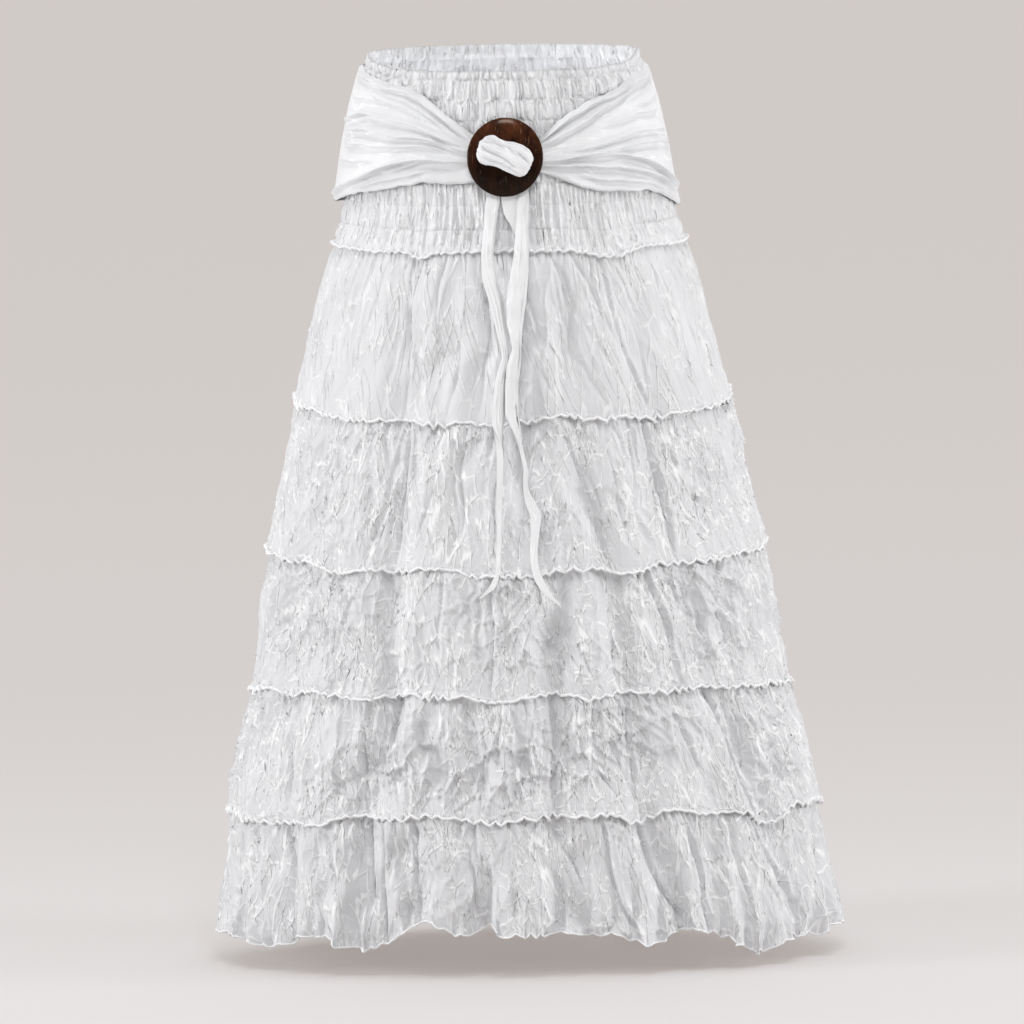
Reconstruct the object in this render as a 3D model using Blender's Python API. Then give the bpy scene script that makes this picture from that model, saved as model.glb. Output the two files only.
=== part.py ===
"""Tiered ruffle skirt with a smocked yoke, a wide sash and a round shell buckle.

Frame: the origin is the centre of the waist opening, level with the rim at the
sides. +Z is up, the front faces -Y and +X is to the right of someone who looks
at the front. Every size below is in millimetres.

The skirt's surface is addressed by an angle round the body, 0 at the front
centre and positive towards +X, and by a drop below the rim, measured down the
side. Folds only ever reach inwards from that surface, so the tables of half
widths are the true outline.
"""
import math
from collections import namedtuple

import bmesh
import bpy
from mathutils import Vector

MM = 0.001

# ---------------------------------------------------------------- driving sizes
WALL = 1.6                  # cloth of the tiers
SIDE_GAP = 0.2              # each half stops this far from the side seam's plane
LAP_GAP = 1.1               # a tier's tucked top, inside the frill above it
TUCK_HEIGHT = 3.0           # how far a tier's top runs up behind the seam
FRONT_STEP = 3.0            # degrees between two columns of the tiers' fronts
BACK_STEP = 4.5             # the same for the backs

Section = namedtuple("Section", "drop half_width half_depth")
BODY = [
    Section(0, 135.5, 98),
    Section(26, 143.5, 104),
    Section(52.5, 150, 109),
    Section(90, 156.5, 114),
    Section(146, 163.5, 119),
    Section(167, 168, 122),
    Section(185, 175, 127),
    Section(218, 188, 136),
    Section(250, 196, 141),
    Section(290, 207, 147),
    Section(336, 217.5, 153),
    Section(386, 226.5, 159),
    Section(434, 235.5, 166),
    Section(488.5, 249.5, 175),
    Section(554, 258.5, 182),
    Section(602, 263.5, 187),
    Section(630.5, 269, 190),
    Section(698, 285.5, 201),
    Section(750, 296, 209),
    Section(802, 301, 214),
    Section(850, 309.5, 221),
    Section(876, 315, 225),
]

# front: how much lower the line runs at the front than at the sides, centre:
# how far the section's centre lies off the waist's centre.
Level = namedtuple("Level", "drop front back centre")
LEVELS = [
    Level(0, 14.7, 0, 0),
    Level(185, 2, 2, 3.7),
    Level(336, 18, 9, 4.5),
    Level(488.5, 11, 7, 4.8),
    Level(630.5, -8, 3, 6.4),
    Level(750, -9, 2, 8.3),
    Level(876, -14, 0, 11.7),
]
SEAM_DROPS = [level.drop for level in LEVELS[1:]]

# Places where a seam or the hem hangs lower (or, negative, higher).
Dip = namedtuple("Dip", "seam angle low half_angle")
DIPS = [
    Dip(1, -30, 5, 6), Dip(1, 34, 8, 16), Dip(1, 160, 5, 18),
    Dip(2, -6, 5, 9), Dip(2, 13, -3, 9), Dip(2, -150, 4, 16),
    Dip(3, -43, 6, 12), Dip(3, -7, 8, 9), Dip(3, 4, 7, 9), Dip(3, 26, 7, 10), Dip(3, 150, 6, 18),
    Dip(4, -36, 5, 6), Dip(4, -4, 7, 10), Dip(4, 16, 5, 9), Dip(4, -140, 6, 15),
    Dip(5, -58, 11, 26), Dip(5, -44, 7, 9), Dip(5, -5, 4, 7), Dip(5, 22, 7, 6), Dip(5, 50, 6, 26),
    Dip(5, 57, 15, 10), Dip(5, 135, 8, 12),
    Dip(6, -62, 9, 36), Dip(6, -56, 12, 8), Dip(6, -33, 17, 10), Dip(6, -19, -12, 6),
    Dip(6, -8, -9, 5), Dip(6, 12, 3, 8), Dip(6, 23, 17, 7), Dip(6, 48, 20, 9), Dip(6, 62, 15, 42),
    Dip(6, 120, 9, 10), Dip(6, 160, -8, 9), Dip(6, -165, 10, 10), Dip(6, -120, -7, 9),
]

# Long folds that run down through every tier: their angle where they cross
# each seam, how deep they get and how far they reach to each side.
Drape = namedtuple("Drape", "depth reach seam_1 seam_2 seam_3 seam_4 seam_5 hem")
DRAPES = [
    Drape(19, 28, -33, -29, -30, -28, -33, -29),
    Drape(15, 30, 6, 2, 8, 8, 6, 10),
    Drape(17, 28, 30, 39, 40, 45, 54, 62),
    Drape(11, 27, 14, 14, 21, 23, 23, 29),
    Drape(11, 27, -66, -62, -58, -57, -55, -52),
    Drape(16, 34, 118, 122, 124, 121, 126, 123),
    Drape(14, 32, 152, 158, 156, 160, 163, 158),
    Drape(18, 36, 205, 201, 204, 200, 196, 199),
    Drape(14, 32, 240, 236, 238, 234, 231, 235),
]

# Each tier's folds: how many go round, how deep they are between the seams and
# at the lower seam, and how long and how flared its lower edge is.
Tier = namedtuple("Tier", "folds belly seam frill flare turn")
TIERS = [
    Tier(22, 7.0, 3.0, 7, 5.0, 0.4),
    Tier(26, 8.0, 3.5, 7, 5.0, 1.7),
    Tier(28, 8.5, 3.5, 7, 5.0, 2.9),
    Tier(30, 9.0, 4.0, 7, 5.0, 0.9),
    Tier(34, 13.0, 17.0, 0, 0.0, 2.2),
]
FRILL_SWING = 1.0           # the frill's flare varies by this much
FRILL_WAVES_PER_FOLD = 3
OPEN_PART = 0.45            # share of a tier's height over which its folds open
TIER_RINGS = [0.0, 0.35, 0.7, 1.0]
HEM_RINGS = [0.0, 0.3, 0.65, 1.0]

# ------------------------------------------------------------------- the yoke
YOKE_WALL = 1.2
PUCKER = 1.7                # the smocking's relief
YOKE_GATHERS = 34
YOKE_FRONT_STEP = 3.75
YOKE_BACK_STEP = 5.0
YOKE_EDGE = 4.5             # length of the yoke's lapped lower edge
YOKE_EDGE_FLARE = 2.2
Ring = namedtuple("Ring", "drop puff")   # puff 0 is an elastic row, 1 the cloth between rows
YOKE_RINGS = [
    Ring(0, 0.9), Ring(9.5, 0), Ring(20, 1), Ring(30.5, 0), Ring(41, 1), Ring(52.5, 0),
    Ring(85, 0.5), Ring(118.6, 0.5), Ring(140, 0), Ring(152, 1), Ring(164, 0), Ring(175, 1),
    Ring(185, 0),
]
YOKE_LINING_DROPS = [0, 52.5, 118.6, 146, 167, 185]

# ------------------------------------------------------------------- the sash
SASH_GAP = 0.8
SASH_ROWS = 9
SASH_BACK_ROWS = 6
# flare: how far the lower edge stands off the yoke, beyond the upper edge.
SashSection = namedtuple("SashSection", "angle top bottom wall pleat flare")
SASH_LEFT = [
    SashSection(-90, 12, 148, 1.6, 1.2, 6),
    SashSection(-65, 14, 133, 1.8, 1.4, 4),
    SashSection(-40, 18, 122, 2.0, 1.8, 1),
    SashSection(-30, 32, 117, 2.2, 2.2, 0),
    SashSection(-19, 53, 120, 2.6, 2.6, 0),
    SashSection(-12, 67, 116, 3.2, 2.6, 0),
    SashSection(-9, 72, 113, 3.4, 2.4, 0),
]
SASH_RIGHT = [
    SashSection(9, 76, 106, 3.4, 2.4, 0),
    SashSection(13, 72, 107, 3.2, 2.6, 0),
    SashSection(22, 50, 120, 2.6, 2.6, 0),
    SashSection(34, 35, 130, 2.2, 2.2, 0),
    SashSection(60, 18, 134, 1.8, 1.4, 1),
    SashSection(90, 14, 158, 1.6, 1.2, 1.5),
]
SASH_BACK = [
    SashSection(90, 14, 158, 1.6, 1.2, 1.5),
    SashSection(180, 15, 155, 1.6, 1.2, 3),
    SashSection(270, 12, 148, 1.6, 1.2, 6),
]
SASH_FRONT_COLUMNS = 13
SASH_BACK_COLUMNS = 25

# ----------------------------------------------------------------- the buckle
BUCKLE_DROP = 88.5
BUCKLE_X = 0.6
BUCKLE_BACK = 6.0           # its back's height over the yoke
BUCKLE_HALF_WIDTH = 37.5
BUCKLE_HALF_HEIGHT = 39.5
BUCKLE_SEGMENTS = 24
SLOT_SEGMENTS = 3           # segments each side of the slot's middle
BUCKLE_TILT = -20           # degrees, the bar's lean in the buckle's own plane
BuckleRing = namedtuple("BuckleRing", "radius front")    # radius of 1 is the rim
BUCKLE_RINGS = [
    BuckleRing(0.24, 5.6), BuckleRing(0.56, 5.4), BuckleRing(0.80, 4.6),
    BuckleRing(0.94, 3.4), BuckleRing(1.0, 2.2),
]
SLOT_RING = 0               # the slots lie between this ring and the next

# The knot: its path across the buckle (u across, w out from the yoke) and half
# its height at each point. The path is mirrored about the bar.
KnotPoint = namedtuple("KnotPoint", "u w half_height")
KNOT = [
    KnotPoint(-14.0, 3.0, 10),
    KnotPoint(-14.0, 12.0, 11),
    KnotPoint(-19.0, 13.6, 12),
    KnotPoint(-25.0, 14.8, 12.5),
    KnotPoint(-27.0, 18.0, 13),
    KnotPoint(-22.0, 21.6, 14),
    KnotPoint(-12.0, 22.4, 14),
    KnotPoint(-4.5, 19.8, 13),
]
KNOT_WALL = 2.0
KNOT_ROWS = 5
KNOT_CURL = 1.6             # how far the knot's long edges turn in
KNOT_LOBE_BASE = 14.0       # height over the yoke where the edges start to turn in
KNOT_LOBE_RISE = 6.0

# ------------------------------------------------------------------ the tails
TAIL_WALL = 1.4
TAIL_FOLD_GAP = 1.2         # between the folded layers
TAIL_BEND = 1.2             # how far the fold's two corners lie inside its edge
TAIL_ROWS = 15
TAIL_TOP = 109

# Stations across the folded strip, from its long edge round the fold to its
# short edge: reach is 1 where the end is cut longest and 0 where it is shortest.
TAIL_REACH = [1.0, 0.78, 0.55, 0.42, 0.3, 0.12, 0.0]
TAIL_FRONT_LAYER = (0.2, -0.6)      # the front layer's stations, in half widths
TailSection = namedtuple("TailSection", "drop x width lift")
TAIL_LEFT = [
    TailSection(109, -12, 12, 2.1),
    TailSection(129, -12, 12, 2.2),
    TailSection(160, -13.5, 12, 5.0),
    TailSection(230, -14, 16, 7.0),
    TailSection(257, -10.5, 13, 7.0),
    TailSection(284, -5.5, 9, 7.0),
    TailSection(307, -5.5, 9, 7.0),
    TailSection(324, -9, 11, 7.0),
    TailSection(357, -11.5, 14, 7.0),
    TailSection(418, -14.4, 14, 7.0),
    TailSection(469, -20, 11, 7.0),
    TailSection(517, -32, 4, 7.0),
]
TAIL_RIGHT = [
    TailSection(109, 12, 12, 2.1),
    TailSection(129, 15, 12, 2.2),
    TailSection(160, 16.5, 13, 5.0),
    TailSection(230, 11, 15, 7.0),
    TailSection(257, 7, 12, 7.0),
    TailSection(284, 6, 10, 7.0),
    TailSection(307, 5.5, 10, 7.0),
    TailSection(324, 6, 12, 7.0),
    TailSection(361, 9, 14, 7.0),
    TailSection(405, 14, 11, 7.0),
    TailSection(430, 19, 12, 7.0),
    TailSection(480, 27, 10, 7.0),
    TailSection(528, 45, 4, 7.0),
]
TAIL_LEFT_SHORT = 357
TAIL_LEFT_LONG = 517
TAIL_RIGHT_SHORT = 361
TAIL_RIGHT_LONG = 528


# ------------------------------------------------------------ tables and folds
def blend(rows, at, column):
    """The named column at a place along a table's first column."""
    first = rows[0]._fields[0]
    low = rows[0]
    for high in rows[1:]:
        if at <= getattr(high, first):
            break
        low = high
    start = getattr(low, first)
    span = getattr(high, first) - start
    part = 0.0 if span == 0 else min(max((at - start) / span, 0.0), 1.0)
    return getattr(low, column) + (getattr(high, column) - getattr(low, column)) * part


def hump(distance):
    """1 at 0, falling smoothly to 0 at a distance of 1."""
    if abs(distance) >= 1:
        return 0.0
    return 0.5 + 0.5 * math.cos(math.pi * distance)


def turn_between(angle, other):
    """The signed angle from one direction to another, in degrees."""
    return (angle - other + 180) % 360 - 180


def body_point(angle, drop, out=0.0):
    """A point over the body's surface, pushed out level along its normal."""
    turn = math.radians(angle)
    width = blend(BODY, drop, "half_width")
    depth = blend(BODY, drop, "half_depth")
    side, ahead = math.sin(turn), math.cos(turn)
    normal = Vector((depth * side, -width * ahead, 0)).normalized()
    lean = abs(ahead) * (2 - abs(ahead))
    sag = blend(LEVELS, drop, "front" if ahead > 0 else "back") * lean
    point = Vector((blend(LEVELS, drop, "centre") + width * side, -depth * ahead, -drop - sag))
    return point + normal * out


def arc_radius(angle, drop):
    """Millimetres along the section for each radian of its angle."""
    turn = math.radians(angle)
    width = blend(BODY, drop, "half_width")
    depth = blend(BODY, drop, "half_depth")
    return math.hypot(width * math.cos(turn), depth * math.sin(turn))


def seam_drop(seam, angle):
    """A seam's drop at an angle, with its dips; seam 6 is the hem."""
    drop = SEAM_DROPS[seam - 1]
    for dip in DIPS:
        if dip.seam == seam:
            drop += dip.low * hump(turn_between(angle, dip.angle) / dip.half_angle)
    return drop


def drape_depth(angle, drop):
    """How far the long folds draw the cloth in."""
    top, bottom = SEAM_DROPS[0], SEAM_DROPS[-1]
    if drop <= top:
        return 0.0
    gain = min((drop - top) / (bottom - top), 1.0) ** 0.6
    for seam in range(len(SEAM_DROPS) - 2, -1, -1):
        if drop >= SEAM_DROPS[seam]:
            break
    part = (drop - SEAM_DROPS[seam]) / (SEAM_DROPS[seam + 1] - SEAM_DROPS[seam])
    depth = 0.0
    for drape in DRAPES:
        above, below = drape[2 + seam], drape[3 + seam]
        middle = above + (below - above) * part
        away = math.radians(turn_between(angle, middle)) * arc_radius(angle, drop)
        depth += drape.depth * hump(away / drape.reach)
    return depth * gain


def fold_wave(angle, tier):
    """0 on a fold's ridge and 1 in its trough, with folds of uneven width."""
    turn = math.radians(angle)
    shift = 0.10 * math.sin(2 * turn + tier.turn) + 0.045 * math.sin(5 * turn + 2 * tier.turn)
    strength = 0.8 + 0.2 * math.sin(3 * turn + 4 * tier.turn)
    return strength * (0.5 - 0.5 * math.cos(tier.folds * (turn + shift)))


# -------------------------------------------------------------- mesh building
def make_material(name, colour, roughness):
    material = bpy.data.materials.new(name)
    material.use_nodes = True
    shader = material.node_tree.nodes["Principled BSDF"]
    shader.inputs["Base Color"].default_value = (*colour, 1.0)
    shader.inputs["Roughness"].default_value = roughness
    shader.inputs["Metallic"].default_value = 0.0
    return material


def add_object(name, bm, material):
    """Closes off a bmesh in metres as one named object."""
    bmesh.ops.triangulate(bm, faces=bm.faces)
    bmesh.ops.recalc_face_normals(bm, faces=bm.faces)
    mesh = bpy.data.meshes.new(name)
    bm.to_mesh(mesh)
    bm.free()
    mesh.materials.append(material)
    mesh.shade_smooth()
    bpy.context.scene.collection.objects.link(bpy.data.objects.new(name, mesh))


def add_grid(bm, rows):
    """Vertices and quads for rows of points in millimetres."""
    verts = [[bm.verts.new(point * MM) for point in row] for row in rows]
    for upper, lower in zip(verts, verts[1:]):
        for i in range(len(upper) - 1):
            bm.faces.new((upper[i], upper[i + 1], lower[i + 1], lower[i]))
    return verts


def join_edges(bm, first, second):
    """A strip between two edges that may have different numbers of points."""
    i = j = 0
    while i < len(first) - 1 or j < len(second) - 1:
        next_i = (i + 1) / (len(first) - 1)
        next_j = (j + 1) / (len(second) - 1)
        if j == len(second) - 1 or (i < len(first) - 1 and next_i <= next_j):
            bm.faces.new((first[i], first[i + 1], second[j]))
            i += 1
        else:
            bm.faces.new((first[i], second[j + 1], second[j]))
            j += 1


def add_wall(name, outer, inner, material):
    """One closed wall between an outer and an inner grid of points."""
    bm = bmesh.new()
    face = add_grid(bm, outer)
    back = add_grid(bm, inner)
    join_edges(bm, face[0], back[0])
    join_edges(bm, face[-1], back[-1])
    join_edges(bm, [row[0] for row in face], [row[0] for row in back])
    join_edges(bm, [row[-1] for row in face], [row[-1] for row in back])
    add_object(name, bm, material)


def columns(start, end, step):
    count = round(abs(end - start) / step)
    return [start + (end - start) * i / count for i in range(count + 1)]


def clear_side_seams(rows, towards):
    """Moves the first and last column off the side seams' plane."""
    for row in rows:
        row[0] = row[0] + Vector((0, towards * SIDE_GAP, 0))
        row[-1] = row[-1] + Vector((0, towards * SIDE_GAP, 0))
    return rows


# --------------------------------------------------------------------- pieces
def yoke_half(name, angles, towards, material):
    def outer_point(angle, ring):
        gather = 0.5 - 0.5 * math.cos(YOKE_GATHERS * math.radians(angle))
        relief = PUCKER * (1 - ring.puff * gather)
        return body_point(angle, ring.drop, -relief)

    outer = [[outer_point(angle, ring) for angle in angles] for ring in YOKE_RINGS]
    depth = YOKE_WALL + PUCKER
    inner = [[body_point(angle, drop, -depth) for angle in angles] for drop in YOKE_LINING_DROPS]
    edge = SEAM_DROPS[0] + YOKE_EDGE
    outer[-1] = [body_point(angle, seam_drop(1, angle), -PUCKER * 0.6) for angle in angles]
    inner[-1] = [body_point(angle, seam_drop(1, angle), -depth) for angle in angles]
    lap = [seam_drop(1, angle) - SEAM_DROPS[0] + edge for angle in angles]
    outer.append([body_point(a, d, YOKE_EDGE_FLARE) for a, d in zip(angles, lap)])
    inner.append([body_point(a, d, YOKE_EDGE_FLARE - WALL) for a, d in zip(angles, lap)])
    clear_side_seams(outer, towards)
    clear_side_seams(inner, towards)
    add_wall(name, outer, inner, material)


def seam_inset(number, angle):
    """How far in a seam's line lies: the long folds and the folds of the tier above it."""
    inset = drape_depth(angle, seam_drop(number, angle))
    if number > 1:
        above = TIERS[number - 2]
        inset += above.seam * fold_wave(angle, above)
    return inset


def tier_rows(number, angles):
    """Outer rings of a tier as (drop, inset) pairs for each angle."""
    tier = TIERS[number - 1]
    last = number == len(TIERS)
    lap = LAP_GAP + (YOKE_WALL + PUCKER if number == 1 else WALL)
    rows = []
    for part in HEM_RINGS if last else TIER_RINGS:
        row = []
        for angle in angles:
            top, bottom = seam_drop(number, angle), seam_drop(number + 1, angle)
            drop = top + (bottom - top) * part
            wave = fold_wave(angle, tier)
            opened = min(part / OPEN_PART, 1.0)
            fade = 1 - opened
            swell = tier.seam if part == 1.0 else tier.belly * opened
            above = seam_inset(number, angle) - drape_depth(angle, top)
            inset = drape_depth(angle, drop) + fade * (above + lap) + swell * wave
            if part == 0.0:
                drop -= TUCK_HEIGHT
                inset = seam_inset(number, angle) + lap
            row.append((drop, inset))
        rows.append(row)
    if tier.frill:
        row = []
        for angle in angles:
            drop = seam_drop(number + 1, angle)
            turn = FRILL_WAVES_PER_FOLD * tier.folds * math.radians(angle)
            swing = FRILL_SWING * math.cos(turn)
            inset = seam_inset(number + 1, angle) - tier.flare - swing
            row.append((drop + tier.frill, inset))
        rows.append(row)
    return rows


def tier_half(name, number, angles, towards, material):
    rows = tier_rows(number, angles)
    outer = [[body_point(a, d, -inset) for a, (d, inset) in zip(angles, row)] for row in rows]
    inner = [[body_point(a, d, -inset - WALL) for a, (d, inset) in zip(angles, row)] for row in rows]
    clear_side_seams(outer, towards)
    clear_side_seams(inner, towards)
    add_wall(name, outer, inner, material)


def sash_stretch(name, table, count, rows, material):
    """A stretch of the sash between two angles, pleated along its length."""
    start, end = table[0].angle, table[-1].angle
    ends_at_side = {start: abs(start) % 180 == 90, end: abs(end) % 180 == 90}
    outer = [[] for _ in range(rows)]
    inner = [[] for _ in range(rows)]
    for column in range(count):
        angle = start + (end - start) * column / (count - 1)
        top = blend(table, angle, "top")
        bottom = blend(table, angle, "bottom")
        wall = blend(table, angle, "wall")
        pleat = blend(table, angle, "pleat")
        at = angle
        if ends_at_side.get(angle):
            inwards = 1 if angle == start else -1
            at = angle + inwards * math.degrees(SIDE_GAP / arc_radius(angle, top))
        for row in range(rows):
            part = row / (rows - 1)
            drop = top + (bottom - top) * part
            stand_off = SASH_GAP + blend(table, angle, "flare") * part
            ridge = pleat * (row % 2)
            inner[row].append(body_point(at, drop, stand_off))
            outer[row].append(body_point(at, drop, stand_off + wall + ridge))
    add_wall(name, outer, inner, material)


def buckle_frame():
    """Origin on the yoke behind the buckle, and its across, up and out directions."""
    origin = body_point(0, BUCKLE_DROP)
    above = body_point(0, BUCKLE_DROP - BUCKLE_HALF_HEIGHT)
    below = body_point(0, BUCKLE_DROP + BUCKLE_HALF_HEIGHT)
    up = (above - below).normalized()
    across = Vector((1, 0, 0))
    out = across.cross(up)
    origin.x = BUCKLE_X
    return origin, across, up, out


def buckle_point(u, v, w, tilt=0.0):
    """A point by its place on the buckle: across, up and out from the yoke."""
    origin, across, up, out = buckle_frame()
    lean = math.radians(tilt)
    turned_u = u * math.cos(lean) - v * math.sin(lean)
    turned_v = u * math.sin(lean) + v * math.cos(lean)
    return origin + across * turned_u + up * turned_v + out * w


def buckle(name, material):
    """A domed disc with two slots either side of a bar."""
    bm = bmesh.new()
    lean = math.radians(BUCKLE_TILT)

    def ring_points(radius, w):
        points = []
        for i in range(BUCKLE_SEGMENTS):
            turn = 2 * math.pi * i / BUCKLE_SEGMENTS + lean
            u = radius * BUCKLE_HALF_WIDTH * math.cos(turn)
            v = radius * BUCKLE_HALF_HEIGHT * math.sin(turn)
            points.append(bm.verts.new(buckle_point(u, v, w) * MM))
        return points

    front = [ring_points(ring.radius, BUCKLE_BACK + ring.front) for ring in BUCKLE_RINGS]
    back = [ring_points(ring.radius, BUCKLE_BACK) for ring in BUCKLE_RINGS]
    crown = bm.verts.new(buckle_point(0, 0, BUCKLE_BACK + BUCKLE_RINGS[0].front + 0.1) * MM)
    heel = bm.verts.new(buckle_point(0, 0, BUCKLE_BACK) * MM)

    def in_slot(i):
        half = BUCKLE_SEGMENTS // 2
        return (i + SLOT_SEGMENTS) % half < 2 * SLOT_SEGMENTS

    for i in range(BUCKLE_SEGMENTS):
        j = (i + 1) % BUCKLE_SEGMENTS
        bm.faces.new((crown, front[0][i], front[0][j]))
        bm.faces.new((heel, back[0][j], back[0][i]))
        bm.faces.new((front[-1][i], back[-1][i], back[-1][j], front[-1][j]))
        for ring in range(len(BUCKLE_RINGS) - 1):
            slotted = ring == SLOT_RING and in_slot(i)
            if not slotted:
                bm.faces.new((front[ring][i], front[ring + 1][i], front[ring + 1][j], front[ring][j]))
                bm.faces.new((back[ring][j], back[ring + 1][j], back[ring + 1][i], back[ring][i]))
                continue
            for level in (ring, ring + 1):
                bm.faces.new((front[level][i], front[level][j], back[level][j], back[level][i]))
            for side, beyond in ((i, i - 1), (j, j)):
                if not in_slot(beyond % BUCKLE_SEGMENTS):
                    bm.faces.new((front[ring][side], front[ring + 1][side],
                                  back[ring + 1][side], back[ring][side]))
    add_object(name, bm, material)


def knot(name, material):
    """The sash over the buckle's bar: in at one slot, two lobes, and out at the other."""
    half = [(point.u, point.w, point.half_height) for point in KNOT]
    path = half + [(-u, w, height) for u, w, height in reversed(half)]
    outer = [[] for _ in range(KNOT_ROWS)]
    inner = [[] for _ in range(KNOT_ROWS)]
    for i, (u, w, height) in enumerate(path):
        before, after = path[max(i - 1, 0)], path[min(i + 1, len(path) - 1)]
        run = Vector((after[0] - before[0], after[1] - before[1])).normalized()
        normal = Vector((-run.y, run.x))
        for row in range(KNOT_ROWS):
            across = 2 * row / (KNOT_ROWS - 1) - 1
            lobe = min(max((w - KNOT_LOBE_BASE) / KNOT_LOBE_RISE, 0.0), 1.0)
            curl = KNOT_CURL * across * across * lobe
            for side, points in ((0.5, outer), (-0.5, inner)):
                push = side * KNOT_WALL - curl
                points[row].append(buckle_point(u + normal.x * push, height * across,
                                                w + normal.y * push, BUCKLE_TILT))
    add_wall(name, outer, inner, material)


def tail_profile(width):
    """The folded strip's middle line, from its long edge round the fold to its short one."""
    half = width / 2
    low = TAIL_WALL / 2
    high = low + TAIL_WALL + TAIL_FOLD_GAP
    bend = (low + high) / 2
    near, far = TAIL_FRONT_LAYER
    return [(-half, low), (0.0, low), (half - TAIL_BEND, low), (half, bend),
            (half - TAIL_BEND, high), (near * half, high), (far * half, high)]


def tail(name, table, short, long, hand, material):
    """A sash end folded along its length and cut to a slanting point.

    hand is 1 where the folded edge faces +X and -1 where it faces -X."""
    outer, inner = [], []
    for row in range(TAIL_ROWS):
        outer.append([])
        inner.append([])
        middle = []
        for station, part in enumerate(TAIL_REACH):
            end = short + (long - short) * part
            drop = TAIL_TOP + (end - TAIL_TOP) * row / (TAIL_ROWS - 1)
            width = blend(table, drop, "width")
            x, rise = tail_profile(width)[station]
            middle.append((drop, x, rise))
        for station, (drop, x, rise) in enumerate(middle):
            before = middle[max(station - 1, 0)]
            after = middle[min(station + 1, len(middle) - 1)]
            run = Vector((after[1] - before[1], after[2] - before[2])).normalized()
            normal = Vector((-run.y, run.x)) * (TAIL_WALL / 2)
            for sign, points in ((1, outer), (-1, inner)):
                across = blend(table, drop, "x") + hand * (x + sign * normal.x)
                lift = blend(table, drop, "lift") + rise + sign * normal.y
                width_here = blend(BODY, drop, "half_width") + lift
                centre = blend(LEVELS, drop, "centre")
                angle = math.degrees(math.asin((across - centre) / width_here))
                points[-1].append(body_point(angle, drop, lift))
    add_wall(name, outer, inner, material)


# ------------------------------------------------------------------- assembly
def clear_scene():
    for item in list(bpy.data.objects):
        bpy.data.objects.remove(item, do_unlink=True)


def build_skirt():
    white = (0.86, 0.85, 0.83)
    yoke_half("yoke_front", columns(-90, 90, YOKE_FRONT_STEP), -1,
              make_material("yoke_front", white, 0.85))
    yoke_half("yoke_back", columns(90, 270, YOKE_BACK_STEP), 1,
              make_material("yoke_back", white, 0.85))
    for number in range(1, len(TIERS) + 1):
        front, back = f"tier_{number}_front", f"tier_{number}_back"
        tier_half(front, number, columns(-90, 90, FRONT_STEP), -1, make_material(front, white, 0.9))
        tier_half(back, number, columns(90, 270, BACK_STEP), 1, make_material(back, white, 0.9))
    sash_stretch("sash_left", SASH_LEFT, SASH_FRONT_COLUMNS, SASH_ROWS,
                 make_material("sash_left", white, 0.85))
    sash_stretch("sash_right", SASH_RIGHT, SASH_FRONT_COLUMNS, SASH_ROWS,
                 make_material("sash_right", white, 0.85))
    sash_stretch("sash_back", SASH_BACK, SASH_BACK_COLUMNS, SASH_BACK_ROWS,
                 make_material("sash_back", white, 0.85))
    buckle("buckle", make_material("buckle", (0.045, 0.018, 0.010), 0.25))
    knot("sash_loop", make_material("sash_loop", white, 0.85))
    tail("tail_left", TAIL_LEFT, TAIL_LEFT_SHORT, TAIL_LEFT_LONG, 1,
         make_material("tail_left", white, 0.85))
    tail("tail_right", TAIL_RIGHT, TAIL_RIGHT_SHORT, TAIL_RIGHT_LONG, -1,
         make_material("tail_right", white, 0.85))


clear_scene()
build_skirt()
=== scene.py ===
"""Looks of the tiered ruffle skirt: crinkled voile sheets in place of its packed cloth.

Sizes are in millimetres unless a name says otherwise; MM turns them into metres. The
origin is the centre of the waist opening, +Z is up and the front faces -Y. A place on
the skirt is an angle round the body, 0 at the front's middle and positive towards +X,
and a drop below the rim, measured down the side. A tier's part is a share of its height.
"""
import math
from collections import namedtuple

import bpy
import numpy as np
from mathutils import Matrix, Vector


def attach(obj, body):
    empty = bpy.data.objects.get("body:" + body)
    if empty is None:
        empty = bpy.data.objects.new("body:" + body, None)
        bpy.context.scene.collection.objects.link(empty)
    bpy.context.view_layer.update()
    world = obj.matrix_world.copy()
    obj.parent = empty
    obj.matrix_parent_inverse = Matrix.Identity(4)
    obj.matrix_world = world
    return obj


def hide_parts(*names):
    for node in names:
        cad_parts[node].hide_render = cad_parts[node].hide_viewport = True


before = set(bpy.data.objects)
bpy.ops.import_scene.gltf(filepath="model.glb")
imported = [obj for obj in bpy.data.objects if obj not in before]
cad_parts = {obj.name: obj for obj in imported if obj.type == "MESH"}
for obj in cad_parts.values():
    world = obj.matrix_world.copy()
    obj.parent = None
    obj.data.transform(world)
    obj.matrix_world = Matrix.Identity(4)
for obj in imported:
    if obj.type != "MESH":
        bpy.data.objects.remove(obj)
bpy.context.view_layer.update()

MM = 0.001


def named(columns, rows):
    """Rows whose columns have names."""
    kind = namedtuple("Row", columns)
    return [kind(*row) for row in rows]


def table(columns, text):
    """The same, from a text that sets numbers apart by spaces and rows by commas."""
    return named(columns, [[float(number) if "." in number else int(number) for number in row.split()]
                           for row in text.split(",")])


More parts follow.
